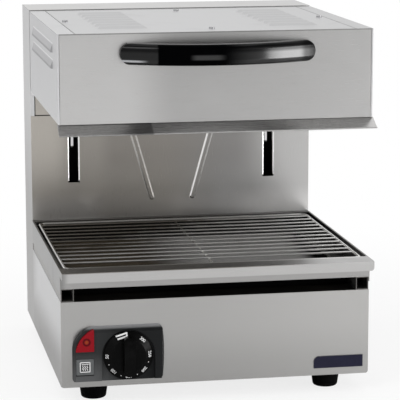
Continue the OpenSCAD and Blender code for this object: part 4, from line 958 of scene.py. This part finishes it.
def bar_faces(half, half_width, steps=10):
    """A bar across the dial in short lengths, so that it can follow the cone."""
    ends = [-half + 2 * half * i / steps for i in range(steps + 1)]
    return [rectangle(x0, -half_width, x1, half_width) for x0, x1 in zip(ends, ends[1:])]


def dot_faces(radius, count=10):
    turns = [2 * math.pi * i / count for i in range(count)]
    return [[(radius * math.cos(t), radius * math.sin(t)) for t in turns]]


def dial_print(material):
    """Numbers, dots and two white bars that are a painted reflection, laid on the knob's sloping skirt."""
    low, high = (Vector(c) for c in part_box("knob"))
    mid = (low + high) / 2
    rim_r = (high.x - low.x) / 2
    face_r = rim_r * KNOB_FACE_SHARE
    bm = bmesh.new()

    def skirt_front(r):
        """How far the skirt stands forward at radius r."""
        share = min(max((rim_r - r) / (rim_r - face_r), 0.0), 1.0)
        return KNOB_RIM_T + (KNOB_SKIRT_T - KNOB_RIM_T) * share

    def lay(faces, angle, radius):
        """Adds faces, drawn upright at the top of the dial, turned clockwise by angle."""
        turn = math.radians(angle)
        for face in faces:
            ring = []
            for x, y in face:
                qx = x * math.cos(turn) + (radius + y) * math.sin(turn)
                qz = -x * math.sin(turn) + (radius + y) * math.cos(turn)
                depth = skirt_front(math.hypot(qx, qz)) + PRINT_PROUD
                ring.append(bm.verts.new((mid.x + qx, high.y - depth, mid.z + qz)))
            bm.faces.new(ring)

    band_r = (rim_r + face_r) / 2 + DIAL_BAND_OUT
    for text, angle in DIAL_NUMBERS:
        lay(number_faces(text, NUMBER_SIZE), angle, band_r)
    for angle in DIAL_DOTS:
        lay(dot_faces(DOT_R), angle, band_r)
    # the two bars and their joining end: a painted reflection
    outer_r, inner_r = band_r + GLINT_OUTER_UP, band_r - GLINT_INNER_DOWN
    lay(bar_faces(GLINT_OUTER_HALF, GLINT_BAR_HALF_W), GLINT_ANGLE, outer_r)
    lay(bar_faces(GLINT_INNER_HALF, GLINT_BAR_HALF_W), GLINT_ANGLE, inner_r)
    lay([rectangle(*GLINT_END)], GLINT_ANGLE, (outer_r + inner_r) / 2)
    bmesh.ops.remove_doubles(bm, verts=bm.verts, dist=0.002 * MM)
    bmesh.ops.recalc_face_normals(bm, faces=bm.faces)
    solid = bmesh.ops.extrude_face_region(bm, geom=bm.faces[:])
    for v in (g for g in solid["geom"] if isinstance(g, bmesh.types.BMVert)):
        v.co.y += PRINT_PROUD * 2
    bmesh.ops.recalc_face_normals(bm, faces=bm.faces)
    mesh = bpy.data.meshes.new("dial_numbers")
    bm.to_mesh(mesh)
    bm.free()
    add_piece("dial_numbers", mesh, material, "heat_knob")


# ---------- studio ----------

DARK_SIDE = (0.0, -0.72, 0.69)
RIGHT_SIDE = (0.97, 0.24, 0.0)
WINDOWS = ((-0.36, -0.93, 0.05), (0.74, -0.67, 0.08))
MATT_LEVEL = 0.62
FLOOR_HALF = 12.0
LAMP_AIM = Vector((0, 0, 0.25))
# name, place in metres, width and height in metres, power in watts
LAMPS = (
    ("lamp_left", (-2.6, -2.6, 2.8), 1.8, 1.8, 56),
    ("lamp_right", (2.25, -1.62, 0.42), 1.6, 0.8, 42),
    ("lamp_top", (0.0, -0.2, 3.2), 2.4, 2.4, 20),
)


class Surround(Finish):
    """The world's node tree, built in the same way as a finish."""

    def __init__(self, name):
        self.material = bpy.data.worlds.new(name)
        self.material.use_nodes = True
        self.tree = self.material.node_tree
        self.surface = self.tree.nodes["Background"]


def make_surround():
    """White to the eye; in gloss white behind and beside, darker over the front; even for matt surfaces."""
    w = Surround("surround")
    to_eye, to_gloss, through_glass = (
        w.node("ShaderNodeLightPath", output=name)
        for name in ("Is Camera Ray", "Is Glossy Ray", "Is Transmission Ray")
    )
    way = w.node("ShaderNodeTexCoord", output="Generated")
    up = w.node("ShaderNodeSeparateXYZ", inputs={0: way}, output=2)

    def facing(direction):
        return w.node(
            "ShaderNodeVectorMath", {"operation": "DOT_PRODUCT"}, {0: way, 1: direction}, output="Value",
        )

    gloss = 1.0 - w.above(facing(DARK_SIDE), (0.25, 0.95)) * 0.62 - w.above(up, (0.22, 0.75)) * 0.22
    gloss = gloss - w.above(facing(RIGHT_SIDE), (0.35, 0.95)) * 0.34
    for window in WINDOWS:
        gloss = gloss + w.above(facing(window), (0.80, 1.0)) * 0.45
    seen = w.larger(to_eye, through_glass)
    level = MATT_LEVEL + seen * (1.0 - MATT_LEVEL) + to_gloss * (gloss.clamped() - MATT_LEVEL)
    bpy.context.scene.world = w.finish(Color=(1, 1, 1), Strength=level)


def make_floor():
    """A pale floor that keeps the shadow and runs out to white."""
    corners = [(x * FLOOR_HALF, y * FLOOR_HALF, 0) for x, y in ((-1, -1), (1, -1), (1, 1), (-1, 1))]
    mesh = bpy.data.meshes.new("floor")
    mesh.from_pydata(corners, [], [(0, 1, 2, 3)])
    floor = bpy.data.objects.new("floor", mesh)
    bpy.context.scene.collection.objects.link(floor)
    f = Finish("floor_pale")
    color = f.mix(f.noise(40, detail=3.0), (0.90, 0.90, 0.90), (0.93, 0.93, 0.93))
    f.finish(Base_Color=color, Roughness=0.8, Specular_IOR_Level=0.2)
    away = f.above(f.length(f.place()), FLOOR_FADE_R)
    lift = f.node("ShaderNodeLightPath", output="Is Camera Ray") * (0.80 + away * 0.20)
    white = f.node("ShaderNodeEmission", {}, {"Color": (1, 1, 1), "Strength": 1.0})
    mixed = f.node("ShaderNodeMixShader", {}, {0: lift, 1: Field(f, f.surface.outputs[0]), 2: white})
    f.tree.links.new(mixed.socket, f.tree.nodes["Material Output"].inputs["Surface"])
    mesh.materials.append(f.material)


def make_lamps():
    for name, place, width, height, power in LAMPS:
        data = bpy.data.lights.new(name, "AREA")
        data.shape = "RECTANGLE"
        data.size = width
        data.size_y = height
        data.energy = power
        lamp = bpy.data.objects.new(name, data)
        lamp.location = place
        lamp.rotation_euler = (Vector(place) - LAMP_AIM).to_track_quat("Z", "Y").to_euler()
        bpy.context.scene.collection.objects.link(lamp)
    bpy.context.scene.view_settings.view_transform = "Standard"


make_camera()
make_surround()
make_floor()
make_lamps()
dress_outside()
dress_cooking_parts()
dress_inside()
white_print = tile_print("print_white", (0.78, 0.78, 0.78), spread=0.2)
sign_on_tile(white_print, tile_print("print_black", (0.02, 0.02, 0.021)))
dial_print(white_print)
